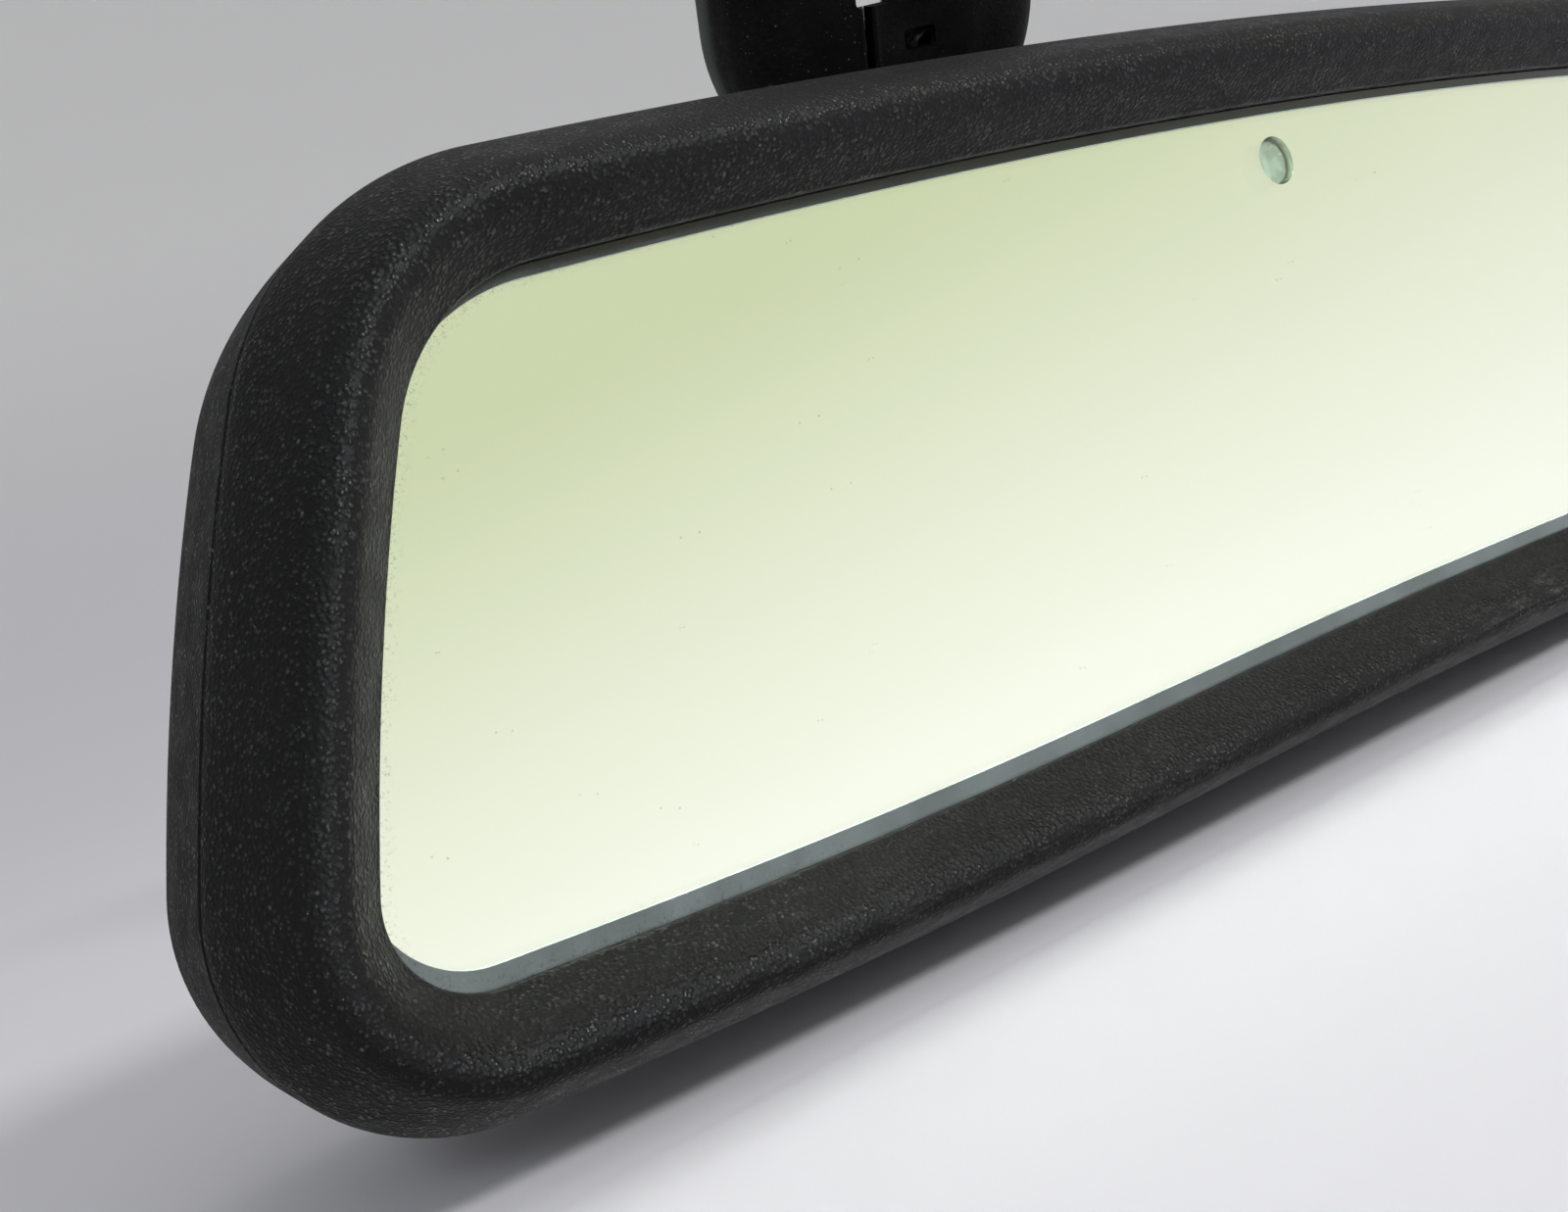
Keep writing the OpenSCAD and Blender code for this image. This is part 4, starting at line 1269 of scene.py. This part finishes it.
def glow_scoop(name, head, g):
    """A glowing scoop in front of the glass that only reflections see.

    Its section runs flat along the floor, up a quarter circle and up a wall. The share of the
    pale colour at each point is a + b * elevation + c * (azimuth - middle), in degrees, of the
    line to the point from the camera's mirror image in the glass.
    """
    floor = CAD_BOUNDS[0].z - g.floor_drop + 0.3 * MM
    turn = np.linspace(0, math.pi / 2, 17)
    bend = SCOOP_BEND
    flat = -np.linspace(SCOOP_NEAR, bend, 14)[:-1]
    y = np.concatenate([flat, -bend - bend * np.sin(turn), [-2 * bend]])
    z = np.concatenate([np.zeros(13), bend * (1 - np.cos(turn)), [SCOOP_TOP]]) + floor
    x = np.linspace(*SCOOP_SIDES, 60)
    points = np.stack(np.broadcast_arrays(x[:, None] + head[0], y + head[1], z), 2)
    line = points - (head + np.array(g.eye) * [1, -1, 1])
    azimuth = np.degrees(np.arctan2(line[..., 0], -line[..., 1]))
    elevation = np.degrees(np.arctan2(line[..., 2], np.hypot(line[..., 0], line[..., 1])))
    pale = np.clip(PALE_SHARE + PALE_BY_ELEVATION * elevation
                   + PALE_BY_AZIMUTH * (azimuth - MIDDLE_AZIMUTH), 0, 1)
    mesh = raw_mesh(name, points, grid_faces(*pale.shape), pale=pale)
    scoop = add_object(name, mesh)
    made = bpy.data.materials.new(name)
    made.use_nodes = True
    made.node_tree.nodes.clear()
    s = Sheet(made.node_tree)
    glow = s.node("ShaderNodeEmission")
    glow.inputs["Strength"].default_value = 1.0
    khaki, white = (0.67, 0.70, 0.56, 1), (1.06, 1.03, 1.12, 1)
    s.put(glow.inputs["Color"], s.mix(s.attribute("pale"), khaki, white))
    s.put(s.node("ShaderNodeOutputMaterial").inputs["Surface"], glow.outputs[0])
    mesh.materials.append(made)
    scoop.visible_camera = scoop.visible_diffuse = scoop.visible_shadow = False


class MIRROR_OT_stage(bpy.types.Operator):
    """Build the sweep, the lights and the camera"""
    bl_idname = "mirror.stage"
    bl_label = "Stage"

    def execute(self, context):
        g = context.scene.mirror_stage
        low, high = CAD_BOUNDS
        centre = np.array((low + high) / 2)
        turn = np.linspace(0, math.pi / 2, 25)[1:]
        flat = np.stack([np.linspace(0, g.floor_radius, 12), np.zeros(12)], 1)
        curve = np.stack([g.floor_radius + g.sweep_radius * np.sin(turn),
                          g.sweep_radius * (1 - np.cos(turn))], 1)
        wall = np.array([[g.floor_radius + g.sweep_radius, g.sweep_radius + g.wall_height]])
        profile = np.concatenate([flat, curve, wall])
        base = np.array([centre[0], centre[1], low.z - g.floor_drop])
        points = lathe(profile, base, (0, 0, 1), g.steps)
        sweep = build_mesh("sweep", points, grid_faces(g.steps, len(profile), wrap_rows=True), 60)
        paint = stage_material("sweep_paint", (0.80, 0.79, 0.83), (0.83, 0.83, 0.83))
        sweep.data.materials.append(paint)
        sweep.visible_glossy = sweep.visible_transmission = False

        head = head_origin()
        # each light: name, place from the glass, size in metres, power in watts, tint
        for name, at, size, power, tint in (
                ("key", (0.30, -0.60, 0.65), (0.20, 0.20), 4.2, (1.0, 0.99, 0.96)),
                ("overhead", (0.2, 0.0, 1.1), (0.8, 0.7), 1.6, (1.0, 1.0, 1.0)),
                ("window", (-0.75, -0.35, 0.60), (0.22, 0.3), 0.9, (0.80, 0.88, 1.0)),
                ("strip", (0.05, -0.95, 0.16), (0.16, 0.8), 13.0, (0.86, 0.91, 1.0))):
            light = add_light(name, head + at, head, size, power, tint)
        # the strip draws the glints along the frame and lights nothing else
        light.visible_diffuse = False
        glow_scoop("glass_scoop", head, g)

        world = bpy.data.worlds.new("soft_sky")
        world.use_nodes = True
        sky = world.node_tree.nodes["Background"].inputs
        sky["Color"].default_value = (0.96, 0.965, 0.98, 1.0)
        sky["Strength"].default_value = 0.34
        context.scene.world = world
        context.scene.view_settings.view_transform = "Standard"

        sight = np.array([math.sin(g.yaw) * math.cos(g.pitch),
                          math.cos(g.yaw) * math.cos(g.pitch), math.sin(g.pitch)])
        level = np.array([math.cos(g.yaw), -math.sin(g.yaw), 0.0])
        upright = np.cross(level, sight)
        right = level * math.cos(g.roll) - upright * math.sin(g.roll)
        up = np.cross(right, sight)
        data = bpy.data.cameras.new("camera")
        data.lens, data.sensor_width, data.clip_start, data.clip_end = g.lens, 36.0, 0.01, 20.0
        camera = add_object("camera", data)
        turned = Matrix([right, up, -sight]).transposed().to_4x4()
        turned.translation = Vector(head + np.array(g.eye))
        camera.matrix_world = turned
        context.scene.camera = camera
        return {"FINISHED"}


class MIRROR_PT_panel(bpy.types.Panel):
    """Lists the steps that build the mirror"""
    bl_idname = "MIRROR_PT_panel"
    bl_label = "Rearview Mirror"
    bl_space_type = "VIEW_3D"
    bl_region_type = "UI"
    bl_category = "Mirror"

    def draw(self, context):
        for group in GROUP_TYPES:
            box = self.layout.box()
            box.label(text=group.replace("_", " ").title())
            holder = getattr(context.scene, group)
            for key in holder.bl_rna.properties.keys():
                if key not in {"rna_type", "name"}:
                    box.prop(holder, key)
        for step in OPERATORS:
            self.layout.operator(step.bl_idname)


GROUP_TYPES = {"mirror_frame": MirrorFrameSettings, "mirror_glass": MirrorGlassSettings,
               "mirror_foot": MirrorFootSettings, "mirror_finish": MirrorFinishSettings,
               "mirror_stage": MirrorStageSettings}
OPERATORS = (MIRROR_OT_finishes, MIRROR_OT_stage, MIRROR_OT_bezel, MIRROR_OT_housing,
             MIRROR_OT_glass, MIRROR_OT_light_guides, MIRROR_OT_inner_pieces,
             MIRROR_OT_foot_covers, MIRROR_OT_foot_seal, MIRROR_OT_foot_pieces)


def register():
    for group in GROUP_TYPES.values():
        bpy.utils.register_class(group)
    for step in OPERATORS:
        bpy.utils.register_class(step)
    bpy.utils.register_class(MIRROR_PT_panel)
    for name, group in GROUP_TYPES.items():
        setattr(bpy.types.Scene, name, PointerProperty(type=group))


def unregister():
    for name in GROUP_TYPES:
        delattr(bpy.types.Scene, name)
    bpy.utils.unregister_class(MIRROR_PT_panel)
    for step in reversed(OPERATORS):
        bpy.utils.unregister_class(step)
    for group in reversed(list(GROUP_TYPES.values())):
        bpy.utils.unregister_class(group)


def main():
    """Registers the add-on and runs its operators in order."""
    register()
    for step in OPERATORS:
        call = getattr(bpy.ops.mirror, step.bl_idname.split(".")[1])
        if call() != {"FINISHED"}:
            raise RuntimeError(f"{step.bl_label} didn't finish")


if __name__ == "__main__":
    main()
